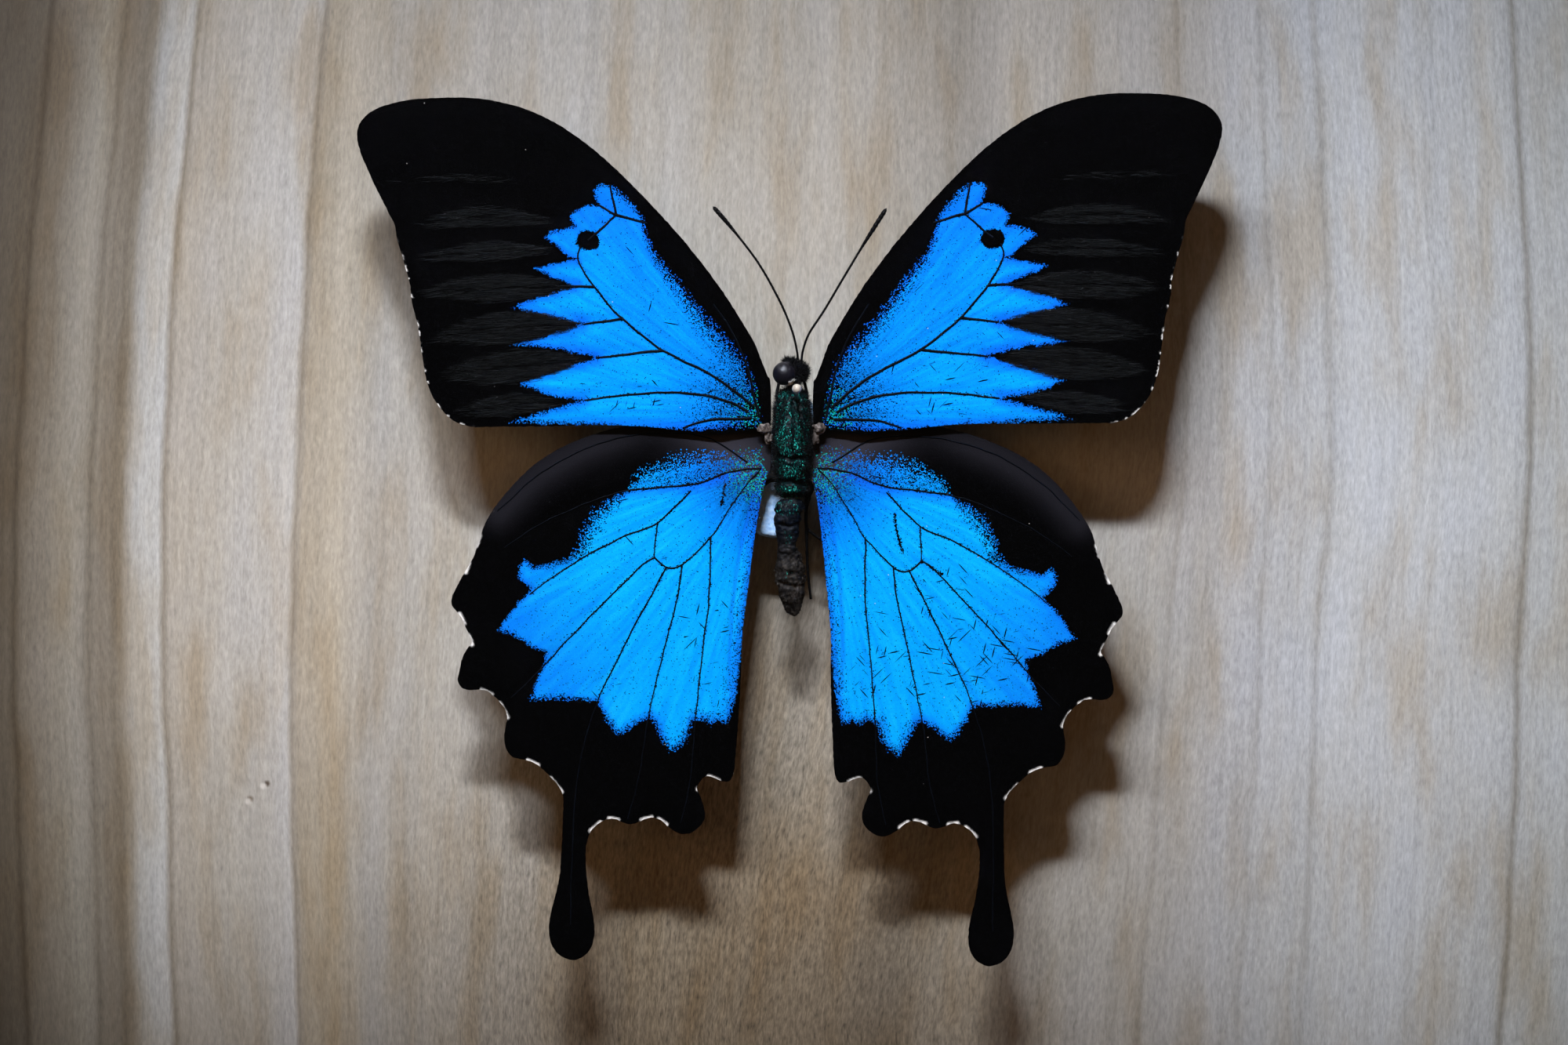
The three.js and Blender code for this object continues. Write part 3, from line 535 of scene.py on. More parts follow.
def markings(points, wing, from_rim):
    """Named values for the wing's material, one number per point. A soft step's limits are in mm or radians."""
    fore = wing.startswith("forewing")
    side = SETTING[wing][0]
    blank = np.zeros(len(points))
    drawn = wander(wander(points, 1.1, 0.2, 3), 0.35, 0.08, 5)
    cover, depth = patch_cover(drawn, FOREWING_BLUE if fore else HINDWING_BLUE, wing)
    vein = nearest_line(points, FOREWING_VEINS if fore else HINDWING_VEINS, wing)
    root = place([(3, 3) if fore else (3.5, -3.6)], wing)[0]
    reach = np.linalg.norm(points - root, axis=1)
    angle = np.arctan2(points[:, 1] - root[1], side * (points[:, 0] - root[0]))
    height = points[:, 1] - ROOT_LEVEL
    deep = 1 - soft_step(0.0, 1.8, depth)
    fold, costal, fringe, fur = blank + 9, blank, blank, blank
    gaps = soft_step(0.1, 0.2, blots(points, 0.8, 0.8, 2))
    teal = 0.55 * (1 - soft_step(1.0, 6, reach))
    if fore:
        spot = np.linalg.norm((drawn - place([EYESPOT[0]], wing)[0]) / EYESPOT[1], axis=1)
        cover *= soft_step(0.95, 1.15, spot)
        fur = brushed(points, wing)
        outer_rim = soft_step(40, 43, side * points[:, 0]) * soft_step(26, 22, height)
        fringe = (1 - soft_step(0.06, 0.16, from_rim)) * gaps * outer_rim
        tone = 0.45 * soft_step(1.5, 17, reach) + 0.15 * soft_step(16, 3, height) + 0.15 * soft_step(22, 30, reach)
        deep = np.maximum(deep, 0.9 * soft_step(17, 31, height))
        cover *= 0.4 + 0.6 * soft_step(1.5, 12, reach)
    else:
        dust, _ = patch_cover(drawn, HINDWING_DUST, wing, 0.7)
        deep = np.where(dust > cover, 0.3, deep)
        cover = np.maximum(cover, dust) * (0.55 + 0.45 * soft_step(1, 8, reach))
        fold = nearest_line(points, [INNER_FOLD], wing)
        ridge = nearest_line(points, HINDWING_VEINS[:1], wing)
        costal = np.exp(-((ridge / 3.2) ** 2)) * (1 - soft_step(3, 16, reach))
        # further out, a painted highlight along the ridge of the front vein
        costal += 0.3 * np.exp(-((ridge / 2.2) ** 2)) * soft_step(10, 22, reach)
        for ends in FRINGE:
            gap, _, _ = to_path(points, place(ends, wing))
            fringe = np.maximum(fringe, (1 - soft_step(0.1, 0.34, gap)) * (1 - 0.4 * gaps))
        tone = 0.72 * soft_step(1.5, 15, reach)
        deep = np.maximum(deep, 0.75 * soft_step(24, 40, reach) * soft_step(-1.15, -0.7, angle))
        # a deeper blue along the inner fold: painted shade in the crease
        deep = np.maximum(deep, 0.6 * (1 - soft_step(0.1, 0.45, fold)))
        cover *= 0.8 + 0.2 * soft_step(0.5, 2.2, np.where(angle < -1.2, depth, 9))
    tears, areas = WEAR[wing]
    for tear in tears:
        gap, _, _ = to_path(wander(points, 0.3, 0.12, 2), smooth_path(place(tear, wing), 6))
        cover *= soft_step(0.05, 0.24, gap)
    worn = blank
    for middle, sizes, most in areas:
        far = np.linalg.norm((points - place([middle], wing)[0]) / sizes, axis=1)
        worn = np.maximum(worn, most * (1 - soft_step(0.4, 1.1, far)))
    cover *= 0.6 + 0.4 * soft_step(0.05, 0.25, vein)
    return {
        "cover": cover, "tone": tone, "deep": deep, "teal": teal, "worn": worn, "costal": costal, "fringe": fringe,
        "fur": fur, "vein": vein, "fold": fold, "fan_across": angle * FAN_RADIUS, "fan_along": reach,
    }


root_values = markings(place([ROOT_MIDDLE], "forewing_left"), "forewing_left", np.zeros(1))
print("at the left forewing's root:", {name: round(float(value[0]), 2) for name, value in root_values.items()})


# %% [markdown]
# ## Wing material
# Butterfly colour is a roof of tiny scales. Blue ones scatter light from their ridges, black ones swallow it
# like velvet. Each cell of a fine Voronoi pattern is one scale: it is blue where its random number is below
# the share of blue scales at that place. Real scales are about 0.1 mm wide, and so are the cells. Straight
# scratches, streaks from the root, a few green scales and grains of dust lie over that.

# %% The scales
SCALE_SIZE = 0.12 * MM
DUST_SPACING = 2.2 * MM
MOST_BLUE = 0.997  # a black scale is left here and there
SCRATCHED_WHERE_WORN, SCRATCHED_ANYWHERE = 1.2, 0.015  # shares of the scratches that show
STREAK_CONTRAST, SCALE_CONTRAST = 0.9, 0.2
SCRATCHES = ((0.25, 0.55, 5), (0.8, 0.45, 8), (1.35, 0.6, 4.5), (1.75, 0.5, 7), (2.4, 0.5, 6))  # turn, width, length
BLUES = [(0.0, "#06559c"), (0.14, "#0566b8"), (0.45, "#0586ee"), (0.75, "#04a4f6"), (1.0, "#12b8fc")]
VELVET = [(0.0, "#000000"), (0.85, "#010102"), (1.0, "#050607")]


def wing_scales():
    """Powdery and almost without gloss: the eye gets an even glow of blue, and a black with no shine."""
    material, tree, shader = new_material("wing_scales", Roughness=0.5, Specular_IOR_Level=0.012)
    drawn = {
        name: add(tree, "Attribute", attribute_name=name).outputs["Fac"]
        for name in ("cover", "tone", "deep", "teal", "fan_across", "fan_along", "costal", "fringe", "worn")
    }
    place_in = add(tree, "TexCoord").outputs["Object"]
    cells = add(tree, "TexVoronoi", {"Vector": place_in, "Scale": 1 / SCALE_SIZE})
    dice = add(tree, "SeparateColor", [cells.outputs["Color"]]).outputs
    # rubbed places: short straight scratches, each layer of them turned another way
    rubbed = 0.0
    shares = [drawn["worn"], SCRATCHED_WHERE_WORN, SCRATCHED_ANYWHERE]
    share = add(tree, "Math", shares, operation="MULTIPLY_ADD")
    for turn, wide, long in SCRATCHES:
        turned = add(
            tree,
            "Mapping",
            {"Vector": place_in, "Rotation": (0, turn, 0), "Scale": (wide * MM, 1.5 * MM, long * MM)},
            vector_type="TEXTURE",
        )
        dashes = add(tree, "TexVoronoi", {"Vector": turned, "Scale": 1.0})
        thin = add(tree, "MapRange", {0: dashes, 1: 0.12, 2: 0.18, 3: 1.0, 4: 0.0})
        lot = add(tree, "SeparateColor", [dashes.outputs["Color"]])
        kept = add(tree, "Math", [lot, share], operation="LESS_THAN")
        dash = add(tree, "Math", [thin, kept], operation="MULTIPLY")
        rubbed = add(tree, "Math", [rubbed, dash], operation="MAXIMUM")
    cover = add(tree, "Math", [drawn["cover"], MOST_BLUE], operation="MULTIPLY")
    chance = add(tree, "Math", [cover, dice[0]], operation="SUBTRACT")
    is_scale = add(tree, "MapRange", {0: chance, 1: 0.0, 2: 0.04})
    left_over = add(tree, "Math", [1.0, rubbed], operation="SUBTRACT")
    is_blue = add(tree, "Math", [is_scale, left_over], operation="MULTIPLY")
    # streaks that fan out from the root, half a millimetre apart and long: tone of the scales, with painted shade of
    # fine radial wrinkles
    along = add(tree, "Math", [drawn["fan_along"], 0.06], operation="MULTIPLY")
    fan = add(tree, "CombineXYZ", [drawn["fan_across"], along])
    streak = add(tree, "TexNoise", {"Vector": fan, "Scale": 1.6, "Detail": 5.0, "Roughness": 0.6})
    tone = add(tree, "Math", [drawn["tone"], -STREAK_CONTRAST / 2], operation="ADD")
    tone = add(tree, "Math", [streak, STREAK_CONTRAST, tone], operation="MULTIPLY_ADD")
    tone = add(tree, "Math", [tone, -SCALE_CONTRAST / 2], operation="ADD")
    shade = add(tree, "Math", [dice[1], SCALE_CONTRAST, tone], operation="MULTIPLY_ADD")
    bright = add(tree, "ValToRGB", [shade], BLUES)
    deep = add(tree, "Math", [drawn["deep"], 0.7], operation="MULTIPLY")
    blue = add(tree, "Mix", {0: deep, 6: bright, 7: linear("#0a4fd6")}, data_type="RGBA")
    # near the root some scales are green
    is_teal = add(tree, "Math", [dice[2], drawn["teal"]], operation="LESS_THAN")
    blue = add(tree, "Mix", {0: is_teal, 6: blue, 7: linear("#10a597")}, data_type="RGBA")
    # velvet black, and the grey front edge of the hindwing with a painted highlight along its front vein
    velvet = add(tree, "ValToRGB", [dice[2]], VELVET)
    dark = add(tree, "Mix", {0: drawn["costal"], 6: velvet, 7: linear("#34333a")}, data_type="RGBA")
    patched = add(tree, "Mix", {0: is_blue, 6: dark, 7: blue}, data_type="RGBA")
    # grains of white dust, a tenth of a millimetre across, and the white fringe
    grains = add(tree, "TexVoronoi", {"Vector": place_in, "Scale": 1 / DUST_SPACING})
    near_grain = add(tree, "MapRange", {0: grains, 1: 0.02, 2: 0.035, 3: 1.0, 4: 0.0})
    luck = add(tree, "SeparateColor", [grains.outputs["Color"]])
    lucky = add(tree, "Math", [luck, 0.55], operation="GREATER_THAN")
    dusty = add(tree, "Math", [near_grain, lucky], operation="MULTIPLY")
    dusty = add(tree, "Math", [dusty, 0.6], operation="MULTIPLY")
    pale = add(tree, "Math", [drawn["fringe"], dusty], operation="MAXIMUM")
    fringed = add(tree, "Mix", {0: pale, 6: patched, 7: linear("#efece6")}, data_type="RGBA")
    dull = add(tree, "MapRange", {0: is_blue, 3: 0.8, 4: 0.45})
    relief = add(tree, "Math", [streak, 1.5, cells], operation="MULTIPLY_ADD")
    bump = add(tree, "Bump", {"Height": relief, "Strength": 0.25, "Distance": 0.05 * MM})
    feed(shader, {"Base Color": fringed, "Roughness": dull, "Normal": bump})
    return material


WING_SCALES = wing_scales()
print("wing_scales has", len(WING_SCALES.node_tree.nodes), "nodes")

# %% [markdown]
# ## The four wings
# The front net is displaced a little: the membrane swells between the veins and dips beside them, which
# gives the soft folds that catch the light.

# %% Build the wings
WING_THICKNESS = 0.4
FRONT_STEP = 0.185
BACK_STEP = 1.2
SWELL = 0.12
FOLD_DEPTH = 0.2
CURL = {}  # each wing's front depth, as a line over x squared

for wing in SETTING:
    rim, CURL[wing] = read_plate(NODES[wing])
    rim = smooth_path(rim, 5, closed=True)
    rim = wander(rim, 0.5, 0.06, 9)
    front, front_faces = fill(rim, FRONT_STEP)
    back, back_faces = fill(rim, BACK_STEP)
    edge_gap, _, _ = to_path(front, np.vstack([rim[::5], rim[:1]]))
    values = markings(front, wing, edge_gap)
    depth = np.polyval(CURL[wing], front[:, 0] ** 2)
    depth -= SWELL * soft_step(0, 1.6, values["vein"]) * soft_step(0, 2.5, edge_gap)
    depth += FOLD_DEPTH * np.exp(-((values.pop("fold") / 0.6) ** 2)) * soft_step(0, 1.5, edge_gap)
    back_depth = np.polyval(CURL[wing], back[:, 0] ** 2) + WING_THICKNESS
    count, n = len(front), len(rim)
    wall = [(i, (i + 1) % n, count + (i + 1) % n, count + i) for i in range(n)]
    faces = front_faces.tolist() + (back_faces[:, ::-1] + count).tolist() + wall
    vertices = [np.column_stack([f[:, 0], d, f[:, 1]]) for f, d in ((front, depth), (back, back_depth))]
    piece = new_object(wing + "_membrane", np.vstack(vertices), faces)
    for name, numbers in values.items():
        set_attribute(piece, name, np.concatenate([numbers, np.zeros(len(back))]))
    net = bmesh.new()
    net.from_mesh(piece.data)
    bmesh.ops.recalc_face_normals(net, faces=net.faces)
    net.to_mesh(piece.data)
    net.free()
    piece.data.shade_smooth()
    piece.data.set_sharp_from_angle(angle=math.radians(50))
    piece.data.materials.append(WING_SCALES)
    settle(piece, "wing", wing)

# %% [markdown]
# ## Veins
# Veins are hollow tubes that stiffen the membrane. They follow drawn paths, so Geometry Nodes sweep a small
# circle along each path, and the path's own attribute makes the tube thinner towards its end.


# %% A tree that sweeps a tube along a path
def new_tree(name, inputs):
    """A Geometry Nodes tree with a mesh in, named inputs and a mesh out."""
    tree = bpy.data.node_groups.new(name, "GeometryNodeTree")
    tree.interface.new_socket("Mesh", in_out="INPUT", socket_type="NodeSocketGeometry")
    for label, kind in inputs.items():
        tree.interface.new_socket(label, in_out="INPUT", socket_type="NodeSocket" + kind)
    tree.interface.new_socket("Mesh", in_out="OUTPUT", socket_type="NodeSocketGeometry")
    return tree, add(tree, "NodeGroupInput").outputs


def end_tree(tree, geometry, material):
    real = add(tree, "GeometryNodeRealizeInstances", [geometry])
    dressed = add(tree, "GeometryNodeSetMaterial", {"Geometry": real, "Material": material})
    add(tree, "NodeGroupOutput", [dressed])
    return tree


def tube_tree():
    tree, given = new_tree("swept_tube", {"Sides": "Int", "Material": "Material"})
    line = add(tree, "GeometryNodeMeshToCurve", [given["Mesh"]])
    width = add(tree, "GeometryNodeInputNamedAttribute", {"Name": "half_width"}, data_type="FLOAT")
    circle = add(tree, "GeometryNodeCurvePrimitiveCircle", {"Resolution": given["Sides"], "Radius": 1.0})
    swept = {"Curve": line, "Profile Curve": circle, "Scale": width, "Fill Caps": True}
    tube = add(tree, "GeometryNodeCurveToMesh", swept)
    smooth = add(tree, "GeometryNodeSetShadeSmooth", [tube])
    return end_tree(tree, smooth, given["Material"])


def result_of(piece):
    """The plain mesh that a piece's modifiers make."""
    bpy.context.view_layer.update()
    return bpy.data.meshes.new_from_object(piece.evaluated_get(bpy.context.evaluated_depsgraph_get()))


def grow(carrier, tree, name, **values):
    """Runs a tree on a carrier mesh and keeps the result as a plain mesh object of its own."""
    modifier = carrier.modifiers.new("nodes", "NODES")
    modifier.node_group = tree
    for socket in tree.interface.items_tree:
        if socket.in_out == "INPUT" and socket.name in values:
            modifier[socket.identifier] = values[socket.name]
    mesh = result_of(carrier)
    carrier.modifiers.remove(modifier)
    if mesh.materials[0] is None:  # the carrier's empty first slot
        mesh.materials.pop(index=0)
        mesh.polygons.foreach_set("material_index", [0] * len(mesh.polygons))
    return show(name, mesh)


def sweep(name, paths, widths, sides, material):
    """Tubes along several paths in millimetres, with a half width at each point, as one piece."""
    edges, first = [], 0
    for path in paths:
        edges += [(first + i, first + i + 1) for i in range(len(path) - 1)]
        first += len(path)
    carrier = new_object(name + "_paths", np.vstack(paths), [], edges)
    set_attribute(carrier, "half_width", np.concatenate(widths) * MM)
    piece = grow(carrier, TUBES, name, Sides=sides, Material=material)
    bpy.data.objects.remove(carrier)
    return piece


TUBES = tube_tree()
VEIN_SIDES, LIMB_SIDES = 8, 12
print("swept_tube has", len(TUBES.nodes), "nodes")

# %% [markdown]
# Horn, steel, card and foam each have one fine pattern, which varies the colour a little and roughens the surface.
# One function makes them all from the pattern's size in millimetres, the tones from its low to its high values,
# and a relief given as a strength and a depth. Veins are dark horn, dull enough to stay black on the blue.


# %% Patterned materials, and the veins' horn
def patterned(name, size, tones, relief=None, kind="TexNoise", grain=(), sunken=False, **values):
    material, tree, shader = new_material(name, **values)
    place_in = add(tree, "TexCoord").outputs["Object"]
    pattern = add(tree, kind, {"Vector": place_in, "Scale": 1 / (size * MM), **dict(grain)})
    feed(shader, {"Base Color": add(tree, "ValToRGB", [pattern], tones)})
    if relief:
        strength, depth = relief
        bump = {"Height": pattern, "Strength": strength, "Distance": depth * MM}
        feed(shader, {"Normal": add(tree, "Bump", bump, invert=sunken)})
    print("material", name)
    return material


VEIN_HORN = patterned(
    "vein_horn", 0.4, [(0.3, "#010204"), (0.7, "#060b14")], grain={"Detail": 3.0},
    Roughness=0.6, Specular_IOR_Level=0.04,
)

# %% [markdown]
# Each vein lies along its drawn line, on the front of the membrane and half sunk into it. It wavers a little, as
# grown things do, and is thickest at the root.

# %% Sweep the veins
VEIN_HALF = {"fore": (0.17, 0.1), "hind": (0.1, 0.06)}  # half widths at the root and at the end
VEIN_RISE = 0.02
for wing in SETTING:
    paths, widths = [], []
    for drawn in FOREWING_VEINS if wing.startswith("fore") else HINDWING_VEINS:
        flat = smooth_path(wander(smooth_path(place(drawn, wing), 8), 2.0, 0.12, 4), 1)
        depth = np.polyval(CURL[wing], flat[:, 0] ** 2) - VEIN_RISE
        paths.append(np.column_stack([flat[:, 0], depth, flat[:, 1]]))
        widths.append(np.linspace(*VEIN_HALF[wing[:4]], len(flat)))
    settle(sweep(wing + "_veins", paths, widths, VEIN_SIDES, VEIN_HORN), "wing")

# %% [markdown]
# ## Body
# The thorax, abdomen and head are copies of their CAD solids, remeshed finely and then wrinkled, because a dry
# insect is never as smooth as a drawn one. Scales and hairs grow on them through a Geometry Nodes tree that
# scatters thin cones over the surface and combs them backwards.


# %% A fine copy of a CAD solid
def from_net(name, net, *materials):
    mesh = bpy.data.meshes.new(name)
    net.to_mesh(mesh)
    net.free()
    mesh.shade_smooth()
    for material in materials:
        mesh.materials.append(material)
    return show(name, mesh)


def fine_copy(node, name, voxel):
    net = bmesh.new()
    net.from_mesh(NODES[node].data)
    bmesh.ops.remove_doubles(net, verts=net.verts, dist=1e-6)
    rough = from_net(name + "_rough", net)
    remesh = rough.modifiers.new("remesh", "REMESH")
    remesh.mode = "VOXEL"
    remesh.voxel_size = voxel * MM
    smooth = rough.modifiers.new("smooth", "SMOOTH")
    smooth.factor = 0.5
    smooth.iterations = 12
    fine = result_of(rough)
    bpy.data.objects.remove(rough)
    fine.shade_smooth()
    print(f"{name}: {len(fine.vertices)} points from {node}")
    return show(name, fine)


def points_and_normals(piece):
    """In millimetres, and as unit vectors."""
    flat = np.zeros((2, len(piece.data.vertices) * 3), np.float32)
    piece.data.vertices.foreach_get("co", flat[0])
    piece.data.vertex_normals.foreach_get("vector", flat[1])
    points, normals = flat.reshape(2, -1, 3).astype(float)
    return points / MM, normals


def move_to(piece, points):
    piece.data.vertices.foreach_set("co", (points * MM).astype(np.float32).ravel())
    piece.data.update()


def wrinkle(piece, size, depth, seed, stretch=(1, 1, 1)):
    points, normals = points_and_normals(piece)
    bumps = [noise.fractal(Vector(p * stretch / size) + Vector((seed,) * 3), 1.0, 2.0, 3) for p in points]
    move_to(piece, points + normals * (np.array(bumps) * depth)[:, None])


REFINED = ("thorax", "abdomen", "head", "foam_block")
print("CAD points before the fine copies:", {node: len(NODES[node].data.vertices) for node in REFINED})

# %% [markdown]
# Hairs and scales are thin three-sided cones. A named number on the surface says how many grow at each place, and
# each is combed along the surface, lifted a little, and turned, sized and tinted by chance with a fixed seed.

# %% A tree that grows hairs and scales on a surface
ROLL_SEED, TINT_SEED = 21, 77
FULL_TURN = 6.28
LEAST_SIZE, MOST_SIZE = 0.5, 1.25  # shares of the given length


def fur_tree():
    tree, given = new_tree(
        "combed_fur",
        {
            "Density": "Float", "Length": "Float", "Thickness": "Float", "Comb": "Vector", "Lift": "Float",
            "Spread": "Vector", "Seed": "Int", "Material": "Material",
        },
    )
    seed = given["Seed"]
    share = add(tree, "GeometryNodeInputNamedAttribute", {"Name": "fur"}, data_type="FLOAT")
    crowd = add(tree, "Math", [given["Density"], share], operation="MULTIPLY")
    roots = add(
        tree, "GeometryNodeDistributePointsOnFaces", {"Mesh": given["Mesh"], "Density": crowd, "Seed": seed}
    )
    outward = roots.outputs["Normal"]
    up = add(tree, "VectorMath", {0: outward, "Scale": given["Lift"]}, operation="SCALE")
    least = add(tree, "VectorMath", {0: given["Spread"], "Scale": -1.0}, operation="SCALE")
    chance = add(
        tree, "FunctionNodeRandomValue", {0: least, 1: given["Spread"], "Seed": seed}, data_type="FLOAT_VECTOR"
    )
    # the comb lies along the surface, so no hair dives into it
    into = add(tree, "VectorMath", [given["Comb"], outward], operation="PROJECT")
    flat = add(tree, "VectorMath", [given["Comb"], into], operation="SUBTRACT")
    lean = add(tree, "VectorMath", [flat, chance], operation="ADD")
    way = add(tree, "VectorMath", [up, lean], operation="ADD")
    turn = add(tree, "FunctionNodeAlignRotationToVector", {"Vector": way}, axis="Z")
    # each hair is rolled by chance, or all would catch the light on the same side
    roll = add(tree, "FunctionNodeRandomValue", {2: 0.0, 3: FULL_TURN, "Seed": ROLL_SEED}, data_type="FLOAT")
    rolled = add(tree, "FunctionNodeAxisAngleToRotation", {"Axis": (0, 0, 1), "Angle": roll})
    turn = add(
        tree, "FunctionNodeRotateRotation", {"Rotation": turn, "Rotate By": rolled}, rotation_space="LOCAL"
    )
    cone = {"Vertices": 3, "Radius Top": 0.0, "Radius Bottom": given["Thickness"], "Depth": given["Length"]}
    hair = add(tree, "GeometryNodeMeshCone", cone, fill_type="NGON")
    sizes = {2: LEAST_SIZE, 3: MOST_SIZE, "Seed": seed}
    size = add(tree, "FunctionNodeRandomValue", sizes, data_type="FLOAT")
    hairs = add(
        tree, "GeometryNodeInstanceOnPoints", {"Points": roots, "Instance": hair, "Rotation": turn, "Scale": size}
    )
    tint = add(tree, "FunctionNodeRandomValue", {2: 0.0, 3: 1.0, "Seed": TINT_SEED}, data_type="FLOAT")
    tinted = add(
        tree, "GeometryNodeStoreNamedAttribute", {0: hairs, "Name": "tint", "Value": tint},
        data_type="FLOAT", domain="INSTANCE",
    )
    return end_tree(tree, tinted, given["Material"])


FUR = fur_tree()
print("combed_fur has", len(FUR.nodes), "nodes")

# %% [markdown]
# A hair's tint is its random number, spread over a few tones. The green scales have a few very bright tones among
# many dark ones, painted glints that make the body glitter as it does in the photograph. The hairs are dull.


# %% Hair and scale materials
def fur_material(name, tones, roughness, shine=0.2):
    material, tree, shader = new_material(name, Roughness=roughness, Specular_IOR_Level=shine)
    tint = add(tree, "Attribute", attribute_name="tint").outputs["Fac"]
    feed(shader, {"Base Color": add(tree, "ValToRGB", [tint], tones)})
    print("material", name)
    return material


# dark teal scales, and at the top a few painted glints
TEAL_TONES = [(0.0, "#010405"), (0.45, "#03272a"), (0.75, "#0a746b"), (0.92, "#1ab3a2"), (1.0, "#4fe8d2")]
TEAL_SCALES = fur_material("teal_body_scales", TEAL_TONES, 0.35, 0.1)
BLACK_HAIR = fur_material("black_body_hair", [(0.0, "#020203"), (0.8, "#0b0c0e"), (1.0, "#1c2226")], 0.5)
WHITE_SCALES = fur_material("white_face_scales", [(0.0, "#b9bcc0"), (1.0, "#f4f4f2")], 0.5)
BROWN_HAIR = fur_material("brown_body_hair", [(0.0, "#0a0908"), (0.7, "#1e1a17"), (1.0, "#4a433c")], 0.55)

# %% [markdown]
# The skin under the fur is dark horn. It is mottled and has only a soft gloss, so its wrinkles show as faint lights.

# %% Body skin
HORN = {"relief": (0.4, 0.1), "grain": {"Detail": 5.0, "Roughness": 0.65}, "Specular_IOR_Level": 0.08}
THORAX_HORN = patterned(
    "thorax_horn", 0.5, [(0.35, "#010203"), (0.55, "#031012"), (0.75, "#07302f")], Roughness=0.45, **HORN
)
HEAD_HORN = patterned(
    "head_horn", 0.4, [(0.35, "#030304"), (0.6, "#0c0d10"), (0.8, "#23262a")], Roughness=0.5, **HORN
)
LEG_HORN = patterned(
    "leg_horn", 0.3, [(0.35, "#030304"), (0.6, "#0a0a0b"), (0.8, "#1d1a18")], Roughness=0.4, **HORN
)

# %% [markdown]
# ## Thorax
# Flight muscle fills the thorax, and the grooves on its back are the seams of its plates. They are pressed into
# the fine copy as lines with a width and a depth. Green scales lie in tufts between the grooves.


# %% Press grooves, and mark where fur grows
def press(piece, dents):
    """Pushes lines of x and height into the side that faces the glass: each with a half width and a depth."""
    points, normals = points_and_normals(piece)
    depth = np.zeros(len(points))
    for line, width, deep in dents:
        gap, _, _ = to_path(points[:, [0, 2]], np.array(line, float) + (0, ROOT_LEVEL))
        depth = np.maximum(depth, deep * np.exp(-((gap / width) ** 2)))
    depth *= soft_step(0.2, -0.4, normals[:, 1])
    move_to(piece, points - normals * depth[:, None])
    set_attribute(piece, "groove", depth)


def fur_where(piece, tufts, base=0.0, facing=None):
    """Sets the share of hair: a base, and tufts of x, height, two half sizes and a share."""
    points, normals = points_and_normals(piece)
    share = np.full(len(points), base)
    for x, up, wide, high, most in tufts:
        far = np.hypot((points[:, 0] - x) / wide, (points[:, 2] - ROOT_LEVEL - up) / high)
        share = np.maximum(share, most * (1 - soft_step(0.6, 1.1, far)))
    share *= soft_step(0.35, -0.25, normals[:, 1]) if facing is None else facing(points, normals)
    layers = piece.data.attributes
    if "groove" in layers:
        groove = np.zeros(len(points), np.float32)
        layers["groove"].data.foreach_get("value", groove)
        share *= 1 - soft_step(0.08, 0.22, groove)
    if "fur" in layers:
        layers.remove(layers["fur"])
    set_attribute(piece, "fur", share)
    print(f"{piece.name}: hair on {np.mean(share > 0):.0%} of its points")


def beside_wings_and_head(points, normals):
    up = points[:, 2] - ROOT_LEVEL
    side = soft_step(0.35, 0.8, np.abs(normals[:, 0])) * soft_step(5.5, 4.5, up)
    return np.maximum(side, soft_step(4.4, 5.6, up))


wing_root = np.array([[2.0, -2.0, ROOT_LEVEL]])
print("share of fuzz beside a wing root:", beside_wings_and_head(wing_root, np.array([[1.0, 0.0, 0.0]])))

# %% [markdown]
# Coarse wrinkles come before the grooves and fine ones after them, so the grooves' lips are rough too. Then two
# coats grow: short green scales in tufts, and longer black fuzz where the wings and the head join on.

# %% Thorax
COMBED_BACK = (0, 0, -1.0)
TOUSLED = (0.35,) * 3  # how far chance turns a hair from its comb, each way
thorax = fine_copy("thorax", "thorax_skin", 0.12)
wrinkle(thorax, 1.2, 0.15, 3)
press(
    thorax,
    [
        ([(0.12, 4.7), (0.12, -1.9)], 0.2, 0.5),
        ([(1.0, 4.5), (1.25, 2), (1.9, 0)], 0.22, 0.4),
        ([(-0.9, 5.2), (-1.5, 3), (-2.1, 0.5)], 0.22, 0.4),
        ([(-2.2, -2), (-0.25, -2.6), (2.2, -2.25)], 0.3, 0.7),
        ([(-2.3, -5.2), (-0.5, -5.4), (1.6, -5.7)], 0.35, 0.6),
        ([(-2.3, -7.4), (2, -7.4)], 0.5, 0.4),
    ],
)
wrinkle(thorax, 0.35, 0.06, 8)
thorax.data.materials.append(THORAX_HORN)
fur_where(
    thorax,
    [
        (-1.1, 5.6, 1.0, 0.8, 1.0), (-1.2, 0, 1.0, 2.2, 1.0), (0.9, 0.2, 0.9, 2.2, 0.9),
        (-0.5, -6.6, 1.7, 0.7, 1.0), (-0.4, -4, 1.8, 0.9, 0.8),
    ],
    0.35,
)
green = grow(
    thorax, FUR, "thorax_scales", Density=70e6, Length=0.22 * MM, Thickness=0.07 * MM, Comb=COMBED_BACK, Lift=0.3,
    Spread=TOUSLED, Seed=4, Material=TEAL_SCALES,
)
fur_where(thorax, [], 1.0, beside_wings_and_head)
fuzz = grow(
    thorax, FUR, "thorax_fuzz", Density=60e6, Length=0.7 * MM, Thickness=0.035 * MM, Comb=(0, -0.25, 0.25), Lift=0.9,
    Spread=TOUSLED, Seed=5, Material=BLACK_HAIR,
)
settle(thorax, "thorax", "thorax")
settle(green, "thorax")
settle(fuzz, "thorax")

# %% [markdown]
# A tegula is a small horny cap that covers each forewing's hinge. It is pale greyish brown and catches the light.

